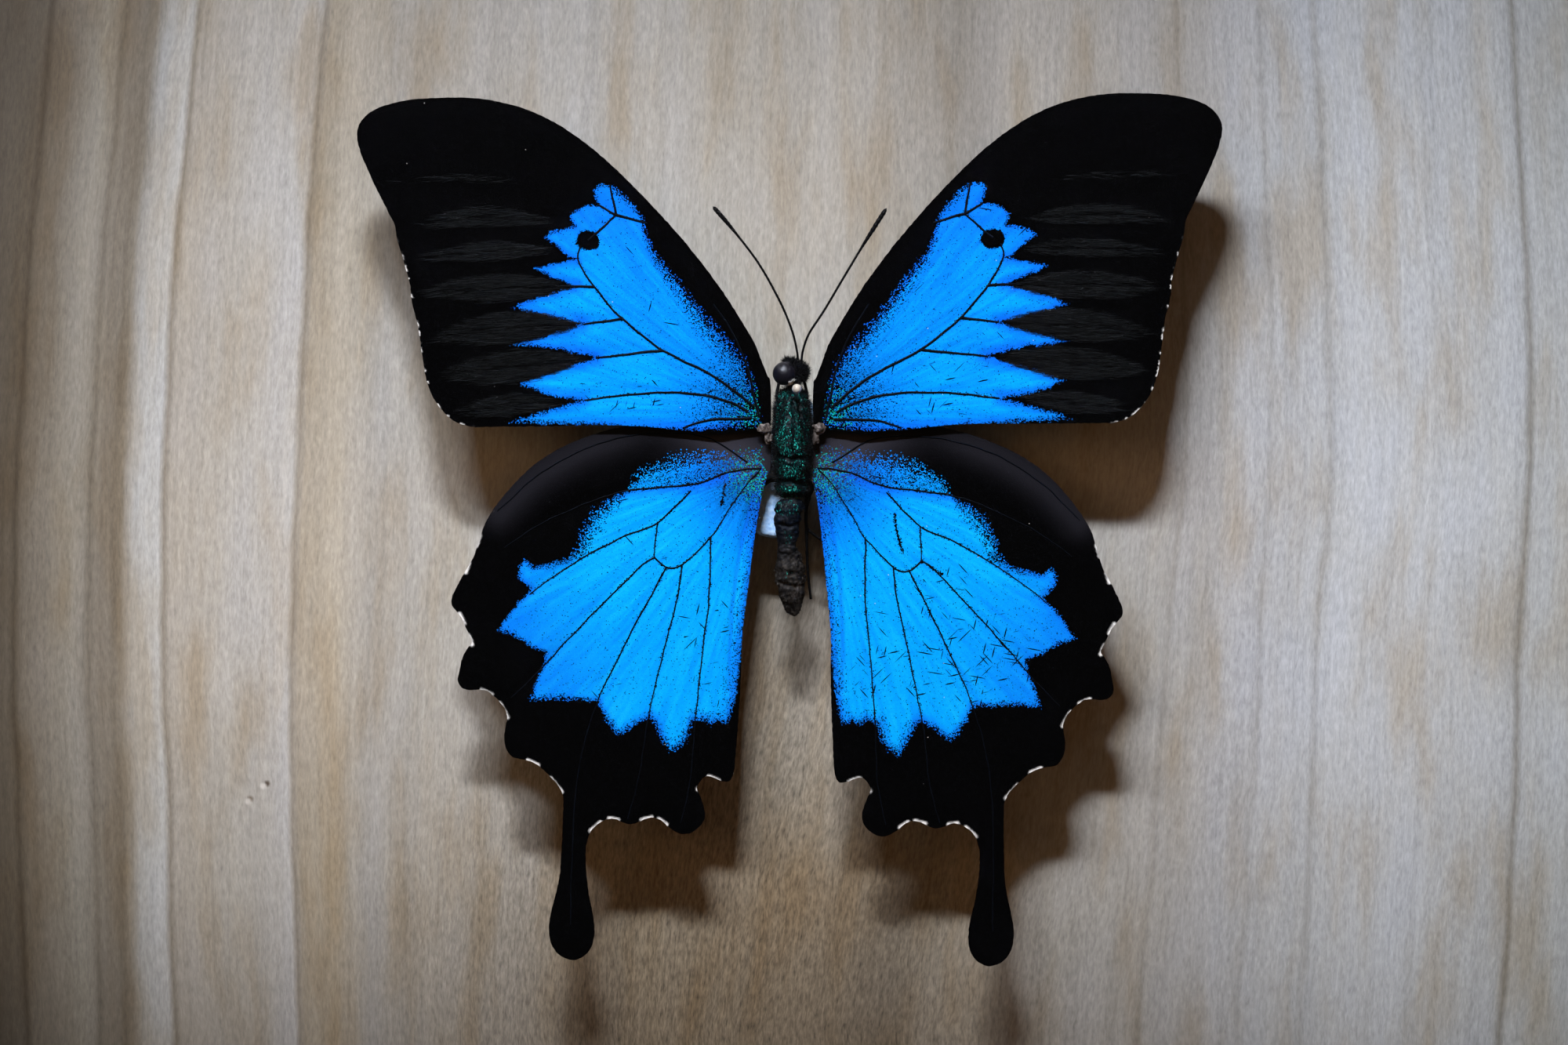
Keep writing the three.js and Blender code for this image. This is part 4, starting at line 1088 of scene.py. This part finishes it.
# %% Tegulae
TEGULA_HORN = patterned(
    "tegula_horn", 0.6, [(0.3, "#171311"), (0.5, "#463f3b"), (0.7, "#8a8079")], Roughness=0.4, **HORN
)
LOBES = ((3.5, -3.2, 1.3, (0.85, 0.45, 0.7)), (3.0, -3.0, 0.1, (0.5, 0.45, 0.8)))  # outwards, y, up and half sizes
net = bmesh.new()
for side in (-1, 1):
    for out, y, up, sizes in LOBES:
        for vertex in bmesh.ops.create_icosphere(net, subdivisions=4, radius=1.0)["verts"]:
            rough = 1 + 0.4 * noise.noise(vertex.co * 1.6 + Vector((side * 3, up, 0)))
            middle = (side * out, y, up + ROOT_LEVEL)
            vertex.co = [(c * size * rough + at) * MM for c, size, at in zip(vertex.co, sizes, middle)]
settle(from_net("tegulae", net, TEGULA_HORN), "thorax")

# %% [markdown]
# ## Abdomen
# Dried out, the abdomen is pinched in the middle and puffy near its end. It is blue-black above and greyish
# brown below, with a dark fold before the last ring and a ragged tip.

# %% Abdomen
abdomen = fine_copy("abdomen", "abdomen_skin", 0.12)
wrinkle(abdomen, 1.5, 0.2, 5, (1, 1, 1.5))
press(
    abdomen,
    [
        ([(-1.4, -18.4), (0.4, -18.8), (2.2, -18.4)], 0.25, 0.4),
        ([(-2.2, -14.5), (-0.5, -14.8), (1.2, -14.2)], 0.3, 0.3),
        ([(-2.2, -10.8), (-0.5, -11.2), (1.4, -10.8)], 0.25, 0.2),
        ([(0.0, -15), (-0.2, -18)], 0.3, 0.2),
        ([(-0.4, -20), (0.1, -22.4)], 0.35, 0.3),
    ],
)
wrinkle(abdomen, 0.4, 0.1, 2)


def abdomen_skin():
    """Blue-black turning to greyish brown downwards, dull as dry horn is."""
    material, tree, shader = new_material("abdomen_horn", Roughness=0.6, Specular_IOR_Level=0.1)
    place_in = add(tree, "TexCoord").outputs["Object"]
    mottle = add(tree, "TexNoise", {"Vector": place_in, "Scale": 1 / (0.7 * MM), "Detail": 6.0, "Roughness": 0.7})
    height = add(tree, "SeparateXYZ", [place_in]).outputs[2]
    lower = add(tree, "MapRange", {0: height, 1: (ROOT_LEVEL - 12) * MM, 2: (ROOT_LEVEL - 16) * MM})
    ink = add(tree, "ValToRGB", [mottle], [(0.35, "#010203"), (0.55, "#040810"), (0.75, "#0e1a2c")])
    taupe = add(tree, "ValToRGB", [mottle], [(0.3, "#020202"), (0.5, "#14110f"), (0.72, "#3a342e")])
    skin = add(tree, "Mix", {0: lower, 6: ink, 7: taupe}, data_type="RGBA")
    bump = add(tree, "Bump", {"Height": mottle, "Strength": 0.5, "Distance": 0.15 * MM})
    feed(shader, {"Base Color": skin, "Normal": bump})
    return material


abdomen.data.materials.append(abdomen_skin())
fur_where(abdomen, [(0, -17.5, 2.6, 3.2, 1.0), (0, -21, 1.8, 1.6, 1.0), (-0.5, -9, 2.2, 2.0, 0.4)])
brown = grow(
    abdomen, FUR, "abdomen_hair", Density=12e6, Length=0.35 * MM, Thickness=0.03 * MM, Comb=COMBED_BACK, Lift=0.35,
    Spread=TOUSLED, Seed=9, Material=BROWN_HAIR,
)
fur_where(abdomen, [(-0.5, -8.8, 1.8, 1.2, 1.0), (-0.5, -12.4, 0.5, 1.4, 1.0), (-0.2, -17, 0.5, 1.2, 0.5)])
green = grow(
    abdomen, FUR, "abdomen_scales", Density=14e6, Length=0.26 * MM, Thickness=0.06 * MM, Comb=COMBED_BACK, Lift=0.3,
    Spread=TOUSLED, Seed=12, Material=TEAL_SCALES,
)
settle(abdomen, "abdomen", "abdomen")
settle(brown, "abdomen")
settle(green, "abdomen")

# %% [markdown]
# ## Head
# The head has dried turned aside, so one large compound eye faces us. An eye is a dome of thousands of facets:
# a fine Voronoi pattern gives them, with sunken seams, on a purplish black that has one soft highlight. Black hair
# stands round the eye, and a little crescent of white scales sits below it.

# %% Head, eye and face hair
EYE_MIDDLE, EYE_RADIUS = (-0.95, -3.3, 8.3 + ROOT_LEVEL), 1.5
FACET_SIZE = 0.07
head = fine_copy("head", "head_skin", 0.1)
wrinkle(head, 0.5, 0.06, 6)
head.data.materials.append(HEAD_HORN)

EYE_LENS = patterned(
    "compound_eye", FACET_SIZE, [(0.0, "#110e1a"), (0.5, "#09070e"), (0.8, "#030204")], (0.35, 0.02),
    kind="TexVoronoi", sunken=True, Roughness=0.4, Specular_IOR_Level=0.3,
)
net = bmesh.new()
for vertex in bmesh.ops.create_icosphere(net, subdivisions=5, radius=EYE_RADIUS * MM)["verts"]:
    vertex.co = vertex.co * (1 + 0.012 * noise.noise(vertex.co / MM * 0.9)) + Vector(EYE_MIDDLE) * MM
eyes = from_net("eyes", net, EYE_LENS)

off_eye = np.linalg.norm(points_and_normals(head)[0] - EYE_MIDDLE, axis=1) - EYE_RADIUS
set_attribute(head, "fur", soft_step(0.02, 0.12, off_eye))
face_hair = grow(
    head, FUR, "head_hair", Density=90e6, Length=0.6 * MM, Thickness=0.035 * MM, Comb=(0, -0.2, 0.1), Lift=0.8,
    Spread=TOUSLED, Seed=3, Material=BLACK_HAIR,
)
fur_where(eyes, [(-0.2, 7.0, 0.35, 0.3, 1.0), (0.15, 7.25, 0.3, 0.3, 1.0)])
white = grow(
    eyes, FUR, "head_white_scales", Density=160e6, Length=0.3 * MM, Thickness=0.06 * MM, Comb=(0.5, -0.2, 0.4),
    Lift=0.25, Spread=(0.25,) * 3, Seed=6, Material=WHITE_SCALES,
)
settle(head, "head", "head")
settle(eyes, "head")
settle(face_hair, "head")
settle(white, "head")

# %% [markdown]
# ## Brushes on the forewings
# Males carry felted patches of long dark hair between the outer veins. The same fur tree grows them on the
# wings, combed outwards and almost flat.

# %% Forewing hair
BRUSH_TONES = [(0.0, "#020202"), (0.5, "#060708"), (0.85, "#0d1012"), (1.0, "#1d2226")]
BRUSH_HAIR = fur_material("wing_brush_hair", BRUSH_TONES, 0.6, 0.08)  # felt: dull, with a few paler hairs
for wing in ("forewing_left", "forewing_right"):
    hair = grow(
        bpy.data.objects[wing + "_membrane"], FUR, wing + "_hair", Density=90e6, Length=1.8 * MM,
        Thickness=0.022 * MM, Comb=(SETTING[wing][0] * 1.0, 0, -0.05), Lift=0.1, Spread=(0.05, 0.05, 0.13), Seed=8,
        Material=BRUSH_HAIR,
    )
    settle(hair, "wing")

# %% [markdown]
# ## Antennae and legs
# Both are chains of small rings or joints. Each follows a path, so the tube tree of the veins serves again: the
# half width swells at the joints, and an antenna ends in a club.

# %% Antennae
BODY_Y = -2.2
ANTENNAE = {
    "antenna_left": [(0.75, 10.1), (0.65, 11.2), (0, 13.8), (-1.5, 17.4), (-4.2, 22.2), (-7.4, 26.4), (-10, 29.4)],
    "antenna_right": [(1.25, 9.85), (1.4, 11.2), (2.2, 13.4), (4.1, 16.3), (6.6, 20.5), (9.2, 24.8), (12, 29.2)],
}
RINGS_PER_ANTENNA, RING_DEPTH = 55, 0.1
STEM_HALF, CLUB_SWELL = 0.15, 0.14
ROOT_GAP, TIP_LIFT = 0.5, 2.5  # how far in front of the body's axis an antenna starts, and how far it then rises
for name, route in ANTENNAE.items():
    rise = np.linspace(0, TIP_LIFT, len(route))
    stops = np.array([(x, BODY_Y - ROOT_GAP - r, up + ROOT_LEVEL) for (x, up), r in zip(route, rise)])
    path = smooth_path(stops, 40)
    t = np.linspace(0, 1, len(path))
    ringed = 1 + RING_DEPTH * np.cos(t * RINGS_PER_ANTENNA * 2 * math.pi)
    width = (STEM_HALF + CLUB_SWELL * soft_step(0.78, 0.92, t) * soft_step(1.0, 0.965, t)) * ringed
    width *= 0.3 + 0.7 * soft_step(1.0, 0.985, t)
    settle(sweep(name + "_rings", [path], [width], LIMB_SIDES, LEG_HORN), "limb", name)

# %% [markdown]
# A leg's path bends at its joints, and the tube swells there. Four legs are folded behind the body, where the
# photograph doesn't show them.

# %% Legs
FORELEG = [(1.5, 2.1, 4.7), (1.9, 2.8, 5.6), (1.6, 3.0, 7.4), (0.8, 2.9, 9.2)]
JOINTS = np.array([0.02, 0.3, 0.62, 0.72, 0.82, 0.92, 0.99])  # as shares of a leg's length
JOINT_LENGTH = 0.012
LEG_HALF, LEG_TAPER, JOINT_SWELL = 0.29, 0.14, 0.05
LEGS = {
    # outwards, behind the body's axis, and up
    "foreleg_left": FORELEG,
    "foreleg_right": FORELEG,
    "midleg_left": [(2.15, 1.95, -3.2), (4.4, 2.9, -4.4), (5.6, 3.8, -8), (6.4, 4.6, -11.6)],
    "midleg_right": [
        (2.15, 1.95, -3.2), (1.9, 2.8, -6), (1.85, 3, -9), (1.9, 3.1, -11.2), (2.6, 3.1, -12), (3.7, 3.1, -12.8),
        (6, 3.3, -14.4),
    ],
    "hindleg_left": [(2, 1.65, -5.2), (3, 2.1, -5.4), (4.6, 2.4, -7), (5.8, 2.5, -10), (6.4, 2.6, -13)],
    "hindleg_right": [
        (2.3, 0.95, -5.5), (2.6, 1.3, -6.3), (2.2, 1.7, -7.4), (1.85, 2.2, -9), (1.85, 2.5, -11.2),
        (1.95, 2.7, -14.4), (2.05, 2.8, -17), (2.45, 2.9, -20.5),
    ],
}
for name, route in LEGS.items():
    side = -1 if name.endswith("left") else 1
    stops = np.array([(side * out, BODY_Y + behind, up + ROOT_LEVEL) for out, behind, up in route])
    path = smooth_path(stops, 24)
    t = np.linspace(0, 1, len(path))
    swell = np.exp(-((t[:, None] - JOINTS) ** 2) / JOINT_LENGTH**2).sum(1)
    width = LEG_HALF - LEG_TAPER * t + JOINT_SWELL * swell * (1 - 0.5 * t)
    settle(sweep(name + "_joints", [path], [width], LIMB_SIDES, LEG_HORN), "limb", name)

# %% [markdown]
# ## Pin and foam
# An insect pin is a thin steel wire with a bead for a head, pushed through the thorax into a foam block that
# holds the insect off the board.

# %% Pin
PIN_FOOT, PIN_LEAN = Vector((0.6, BODY_Y, ROOT_LEVEL + 4.9)), math.radians(8)
PIN_WAY = Vector((0, -math.cos(PIN_LEAN), math.sin(PIN_LEAN)))
PIN_BELOW, PIN_ABOVE, POINT_LENGTH = 10.0, 8.6, 1.6  # lengths on both sides of the foot, and of the sharp point
NEEDLE_HALF, BEAD_HALF = 0.25, 0.6


def turned(profile, sides=40):
    """A shape turned on a lathe round the pin's axis, from pairs of half width and height."""
    across = PIN_WAY.orthogonal().normalized()
    other = PIN_WAY.cross(across)
    points = [
        PIN_FOOT + PIN_WAY * height + (across * math.cos(a) + other * math.sin(a)) * half
        for half, height in profile
        for a in (i * 2 * math.pi / sides for i in range(sides))
    ]
    faces = [
        (r * sides + i, r * sides + (i + 1) % sides, (r + 1) * sides + (i + 1) % sides, (r + 1) * sides + i)
        for r in range(len(profile) - 1)
        for i in range(sides)
    ]
    ends = [tuple(reversed(range(sides))), tuple((len(profile) - 1) * sides + i for i in range(sides))]
    return points, faces + ends


PLAIN = {"relief": (0.25, 0.1), "grain": {"Detail": 5.0, "Roughness": 0.6}}
PIN_STEEL = patterned(
    "pin_steel", 0.25, [(0.3, "#74777b"), (0.5, "#8f9296"), (0.7, "#a6a9ad")], Metallic=1.0, Roughness=0.3, **PLAIN
)
# a clear coat over a milky body gives the bead its small sharp highlight
PEARL = patterned(
    "pearl_bead", 0.5, [(0.3, "#9c907f"), (0.7, "#d3cabb")], grain={"Detail": 3.0},
    Roughness=0.18, Coat_Weight=0.6, Coat_Roughness=0.08,
)
needle = [
    (0.03, -PIN_BELOW), (NEEDLE_HALF, -PIN_BELOW + POINT_LENGTH), (NEEDLE_HALF, PIN_ABOVE - BEAD_HALF * 0.8),
]
bead = [
    (max(0.02, BEAD_HALF * math.sin(a)), PIN_ABOVE - BEAD_HALF * math.cos(a))
    for a in np.linspace(0.02, math.pi - 0.02, 28)
]
points, faces = turned(needle)
bead_points, bead_faces = turned(bead)
faces_above = [tuple(i + len(points) for i in face) for face in bead_faces]
pin = new_object("pin_turned", points + bead_points, faces + faces_above)
pin.data.materials.append(PIN_STEEL)
pin.data.materials.append(PEARL)
for i, polygon in enumerate(pin.data.polygons):
    polygon.material_index = int(i >= len(faces))
pin.data.shade_smooth()
pin.data.set_sharp_from_angle(angle=math.radians(40))
settle(pin, "pin", "pin")

# %% [markdown]
# The block is cut from white foam. Its open cells scatter the light, so it looks soft. Its pale blue is a painted
# reflection of the blue that the wings throw at it.

# %% Foam block
foam = fine_copy("foam_block", "foam_cells", 0.22)
wrinkle(foam, 0.7, 0.08, 4)
# the pale blue tones are a painted reflection of the wings' blue on white foam
foam.data.materials.append(
    patterned(
        "white_foam_painted_blue", 0.45, [(0.0, "#97c2f0"), (0.5, "#abd2fa"), (0.9, "#c8e4ff")], (0.5, 0.1),
        kind="TexVoronoi", Roughness=0.85, Specular_IOR_Level=0.3,
    )
)
settle(foam, "foam", "foam_block")

# %% [markdown]
# ## Board
# The CAD nodes of the board and the frame already have the right shapes, so they stay and only get materials. The
# board is faced with a thin sheet of greyed wood. Its figure is a set of upright tones and dark year lines, which
# bow, slant and sway together because all are drawn over one bent coordinate. Fibres are drawn a little coarser
# than they are, or they would be too fine to show.

# %% Tones and year lines across the board
# place in mm from the midline, and colour
BANDS = [
    (-104, "#5e5446"), (-99, "#7a7062"), (-95, "#90887a"), (-91, "#7a7062"), (-88.5, "#857c6e"), (-87, "#aba9a4"),
    (-83.2, "#b8b5ae"), (-82.8, "#a69d8f"), (-74, "#b3ada2"), (-66.4, "#b8b4ad"), (-65.9, "#bcb8b1"),
    (-65.3, "#a59a88"), (-60, "#b2a896"), (-55, "#a9a49b"), (-45, "#b2aca1"), (-33, "#b4b0a8"), (-11, "#b3ada1"),
    (9, "#b0aa9f"), (21.5, "#989288"), (29, "#aca69b"), (55, "#a8a59f"), (60, "#b2b2b1"), (69.5, "#b7b9b9"),
    (83, "#babcbc"), (96, "#b4b5b3"), (104, "#aaaba8"),
]
YEAR_LINES = [-102.5, -92.5, -89.6, -82.9, -65.6, 51.5, 63.5, 70.8, 84.2, 96.8]
YEAR_LINE = ((-0.5, "#ffffff"), (0, "#cdc8c0"), (0.35, "#ffffff"))  # across one line, this darkens the tone
print(len(BANDS), "tones and", len(YEAR_LINES), "year lines")

# %% [markdown]
# A tree doesn't grow straight. A bent coordinate is the place across the board plus a few pushes: a bow towards the
# top, a slant below the butterfly, a slow sway and a small waver.

# %% The bent coordinate
BOW_STARTS, BOW_HEIGHT = 85 * MM, 115 * MM
SWAYS = ((90, 5), (14, 0.9))  # a slow sway and a small waver: size and swing in mm


def board_place(tree, x, z, place_in):
    """The bent coordinate across the board, and how far down a point is."""
    # lines on the left lean right towards the top, those on the right the other way
    rise = add(tree, "Math", [z, 1 / BOW_HEIGHT, -BOW_STARTS / BOW_HEIGHT], operation="MULTIPLY_ADD")
    rise = add(tree, "Math", [rise, 0.0], operation="MAXIMUM")
    rise = add(tree, "Math", [rise, 2.0], operation="POWER")
    lean = add(tree, "MapRange", {0: x, 1: -60 * MM, 2: 80 * MM, 3: -6.5 * MM, 4: 3.0 * MM})
    bowed = add(tree, "Math", [rise, lean, x], operation="MULTIPLY_ADD")
    # and below the butterfly those in the middle slant to the left
    fall = add(tree, "MapRange", {0: z, 1: 135 * MM, 2: 60 * MM})
    to_left = add(tree, "MapRange", {0: x, 1: -70 * MM, 2: -5 * MM, 3: -1.7 * MM, 4: 10 * MM})
    to_right = add(tree, "MapRange", {0: x, 1: 10 * MM, 2: 65 * MM, 3: 10 * MM, 4: 4.5 * MM})
    slant = add(tree, "Math", [to_left, to_right], operation="MINIMUM")
    across = add(tree, "Math", [fall, slant, bowed], operation="MULTIPLY_ADD")
    for size, swing in SWAYS:
        sway = add(tree, "TexNoise", {"Vector": place_in, "Scale": 1 / (size * MM), "Detail": 2.0})
        push = add(tree, "Math", [sway, swing * MM, -swing / 2 * MM], operation="MULTIPLY_ADD")
        across = add(tree, "Math", [push, across], operation="ADD")
    return across, fall


print("lines sway by", " and ".join(f"{swing} mm over {size} mm" for size, swing in SWAYS))

# %% [markdown]
# The veneer is built up in layers: tones and year lines, tan patches, a browner patch below the middle, fibres of
# several sizes, painted shade towards the foot and a little at the top, and one dent drawn in painted light and
# shade. Each layer multiplies the tone below it.

# %% Veneer
BOARD_HALF, BOARD_FRONT, VENEER_ENDS = 105, 9, 11.5  # half width, and two depths
# year bands, streaks and fibres: width and length in mm, and how much each one changes the tone
FIBRES = ((9, 260, 0.12), (2.5, 70, 0.12), (0.7, 14, 0.16), (0.45, 1.7, 0.33), (0.2, 0.8, 0.25))
SHORT_FIBRE = 2
BROWN_PATCH_MIDDLE, BROWN_PATCH_HALF = (-8, 56), (50, 80)  # x and z, and half sizes
# painted shade: the veneer is drawn darker towards the foot of the board and a little at the top
FOOT_AND_TOP_SHADE = [
    (0.0, "#a5a3a0"), (0.2, "#e7e7e5"), (0.36, "#ffffff"), (0.5, "#ffffff"), (0.75, "#e6e6e6"), (1.0, "#b4b4b4"),
]
SHADE_LESS_TO_THE_RIGHT = 0.065 / 0.06  # what each metre to the right takes off the painted shade
DENT_SHADE_AND_LIGHT = ((-68.6, 92.2, "#584d42"), (-69.1, 91.9, "#c9c3b9"), (-70.8, 90.2, "#776b5d"), (-71.1, 89.9, "#c2bbb0"))
MIXED = {"data_type": "RGBA"}
TINTED = {"data_type": "RGBA", "blend_type": "MULTIPLY"}


def wood_veneer():
    """Satin, hardly glossy: the eye gets the figure of the wood and the shadows on it, and no glare."""
    material, tree, shader = new_material("greyed_veneer", Roughness=0.55, Specular_IOR_Level=0.15)
    place_in = add(tree, "TexCoord").outputs["Object"]
    x, y, z = add(tree, "SeparateXYZ", [place_in]).outputs
    across, fall = board_place(tree, x, z, place_in)
    figure = add(tree, "CombineXYZ", {0: across, 2: z})
    spread = add(tree, "MapRange", {0: across, 1: -BOARD_HALF * MM, 2: BOARD_HALF * MM})
    lines = [(at + off, code) for at in YEAR_LINES for off, code in YEAR_LINE]
    for drawn in (BANDS, lines):
        stops = [((at + BOARD_HALF) / (2 * BOARD_HALF), code) for at, code in drawn]
        layer = add(tree, "ValToRGB", [spread], stops)
        tones = layer if drawn is BANDS else add(tree, "Mix", {0: 1.0, 6: tones, 7: layer}, **TINTED)
    # patches of tan among the grey
    patch_at = add(tree, "Mapping", {"Vector": figure, "Scale": (1 / (7 * MM), 1.0, 1 / (30 * MM))})
    patchy = add(tree, "TexNoise", {"Vector": patch_at, "Scale": 1.0, "Detail": 3.0})
    tint = add(tree, "ValToRGB", [patchy], [(0.35, "#fbfcff"), (0.5, "#f8f7f5"), (0.66, "#e9dfd0")])
    tones = add(tree, "Mix", {0: 1.0, 6: tones, 7: tint}, **TINTED)
    # browner and darker below the middle, where the short fibres also get painted glints
    brown_x, brown_z = (-middle / half for middle, half in zip(BROWN_PATCH_MIDDLE, BROWN_PATCH_HALF))
    brown_scale = (1 / (BROWN_PATCH_HALF[0] * MM), 0.0, 1 / (BROWN_PATCH_HALF[1] * MM))
    brown_at = {"Vector": place_in, "Location": (brown_x, 0, brown_z), "Scale": brown_scale}
    off_brown = add(tree, "VectorMath", [add(tree, "Mapping", brown_at)], operation="LENGTH")
    brown_share = add(tree, "MapRange", {0: off_brown, 1: 1.1, 2: 0.2}, interpolation_type="SMOOTHSTEP")
    # there the short fibres get more contrast: wood grain, with painted glints of light grazing the fibres
    shine = add(tree, "Math", [brown_share, 1.6, 1.0], operation="MULTIPLY_ADD")
    gain = 1.0
    for width, length, change in FIBRES:
        stretch = add(tree, "Mapping", {"Vector": figure, "Scale": (1 / (width * MM), 1.0, 1 / (length * MM))})
        grain = add(tree, "TexNoise", {"Vector": stretch, "Scale": 1.0, "Detail": 2.0})
        swing = add(tree, "Math", [grain, change * 2, -change], operation="MULTIPLY_ADD")
        if length < SHORT_FIBRE:
            swing = add(tree, "Math", [swing, shine], operation="MULTIPLY")
        gain = add(tree, "Math", [swing, gain], operation="ADD")
    # painted shade: the board is drawn darker towards its foot, less so on the right, and a little at the top
    foot = add(tree, "MapRange", {0: z, 1: 50 * MM, 2: 205 * MM})
    right = add(tree, "Math", [x, 0.0], operation="MAXIMUM")
    low_right = add(tree, "Math", [fall, right], operation="MULTIPLY")
    foot = add(tree, "Math", [low_right, SHADE_LESS_TO_THE_RIGHT, foot], operation="MULTIPLY_ADD")
    toned = add(tree, "Mix", {0: 1.0, 6: tones, 7: add(tree, "ValToRGB", [foot], FOOT_AND_TOP_SHADE)}, **TINTED)
    # the patch below the middle is drawn browner and darker
    browned = add(tree, "Math", [brown_share, 0.75], operation="MULTIPLY")
    toned = add(tree, "Mix", {0: browned, 6: toned, 7: linear("#c2ad8e")}, **TINTED)
    # a dent drawn only in colour: painted shade on its upper lip and painted light below it
    for dent_x, dent_z, code in DENT_SHADE_AND_LIGHT:
        dent_at = (dent_x * MM, BOARD_FRONT * MM, dent_z * MM)
        apart = add(tree, "VectorMath", [place_in, dent_at], operation="DISTANCE")
        here = add(tree, "MapRange", {0: apart, 1: 0.55 * MM, 2: 0.2 * MM})
        toned = add(tree, "Mix", {0: here, 6: toned, 7: linear(code)}, **MIXED)
    grained = add(tree, "VectorMath", {0: toned, "Scale": gain}, operation="SCALE")
    # only the front is veneered, the back is plain brown fibreboard
    felted = add(tree, "TexNoise", {"Vector": place_in, "Scale": 1 / (0.8 * MM), "Detail": 5.0})
    fibreboard = add(tree, "ValToRGB", [felted], [(0.3, "#6d5138"), (0.7, "#957354")])
    is_back = add(tree, "Math", [y, VENEER_ENDS * MM], operation="GREATER_THAN")
    faced = add(tree, "Mix", {0: is_back, 6: grained, 7: fibreboard}, **MIXED)
    bump = add(tree, "Bump", {"Height": grain, "Strength": 0.4, "Distance": 0.08 * MM})
    feed(shader, {"Base Color": faced, "Normal": bump})
    return material


def dress(material, *names):
    for name in names:
        NODES[name].data.materials.clear()
        NODES[name].data.materials.append(material)
    print(material.name, "on", ", ".join(names))


dress(wood_veneer(), "backing_board")

# %% [markdown]
# ## Glass and frame
# Picture glass is clear, flat and smooth, so plain transmission with glass's index of refraction is all it needs.
# A render can't aim a lamp's light through a pane that bends it, and everything behind would go dark, so the pane
# casts no shadow and scattered light passes it by.

# %% Glass
CLEAR_GLASS, _, _ = new_material(
    "clear_glass", Base_Color=(1, 1, 1, 1), Roughness=0.0, IOR=1.5, Transmission_Weight=1.0
)
dress(CLEAR_GLASS, "glass_pane")
NODES["glass_pane"].visible_shadow = NODES["glass_pane"].visible_diffuse = False

# %% [markdown]
# The rails are black-stained wood: the pores stay open as fine dark lines along the rail, so the grain runs
# across for two of them and upright for the other two. The spacers are black card, and the points that hold the
# board in its rabbet are zinc-coated steel, like the hanger and its nails.

# %% Stained wood, card and steel
PORE_WIDTH, PORE_LENGTH = 0.5 * MM, 14 * MM


def stained_wood(name, along):
    """Satin black with finely streaked gloss, so the light runs along the grain."""
    material, tree, shader = new_material(name, Roughness=0.45, Specular_IOR_Level=0.4)
    place_in = add(tree, "TexCoord").outputs["Object"]
    scale = [1 / (PORE_LENGTH if axis == along else PORE_WIDTH) for axis in range(3)]
    stretch = add(tree, "Mapping", {"Vector": place_in, "Scale": scale})
    pores = add(tree, "TexNoise", {"Vector": stretch, "Scale": 1.0, "Detail": 4.0, "Roughness": 0.6})
    stain = add(tree, "ValToRGB", [pores], [(0.35, "#0a0909"), (0.5, "#171514"), (0.7, "#25211f")])
    shine = add(tree, "MapRange", {0: pores, 3: 0.65, 4: 0.32})
    bump = add(tree, "Bump", {"Height": pores, "Strength": 0.35, "Distance": 0.15 * MM})
    feed(shader, {"Base Color": stain, "Roughness": shine, "Normal": bump})
    return material


dress(stained_wood("black_stained_wood_across", 0), "rail_top", "rail_bottom")
dress(stained_wood("black_stained_wood_upright", 2), "rail_left", "rail_right")
# card is dull and swallows stray light
CARD = patterned(
    "black_card", 0.3, [(0.3, "#0c0c0c"), (0.7, "#1b1a19")], Roughness=0.8, Specular_IOR_Level=0.2, **PLAIN
)
dress(CARD, *[name for name in NODES if name.startswith("spacer_")])
# zinc goes grey and half dull in air
ZINC = patterned(
    "zinc_coated_steel", 0.8, [(0.3, "#84888b"), (0.7, "#b3b7ba")], Metallic=0.5, Roughness=0.45, **PLAIN
)
dress(ZINC, *[name for name in NODES if name.startswith(("point_", "hanger_"))])

# %% [markdown]
# ## Finish
# The view layer is updated once more, so every piece stands where it was put.

# %% Finish
bpy.context.view_layer.update()
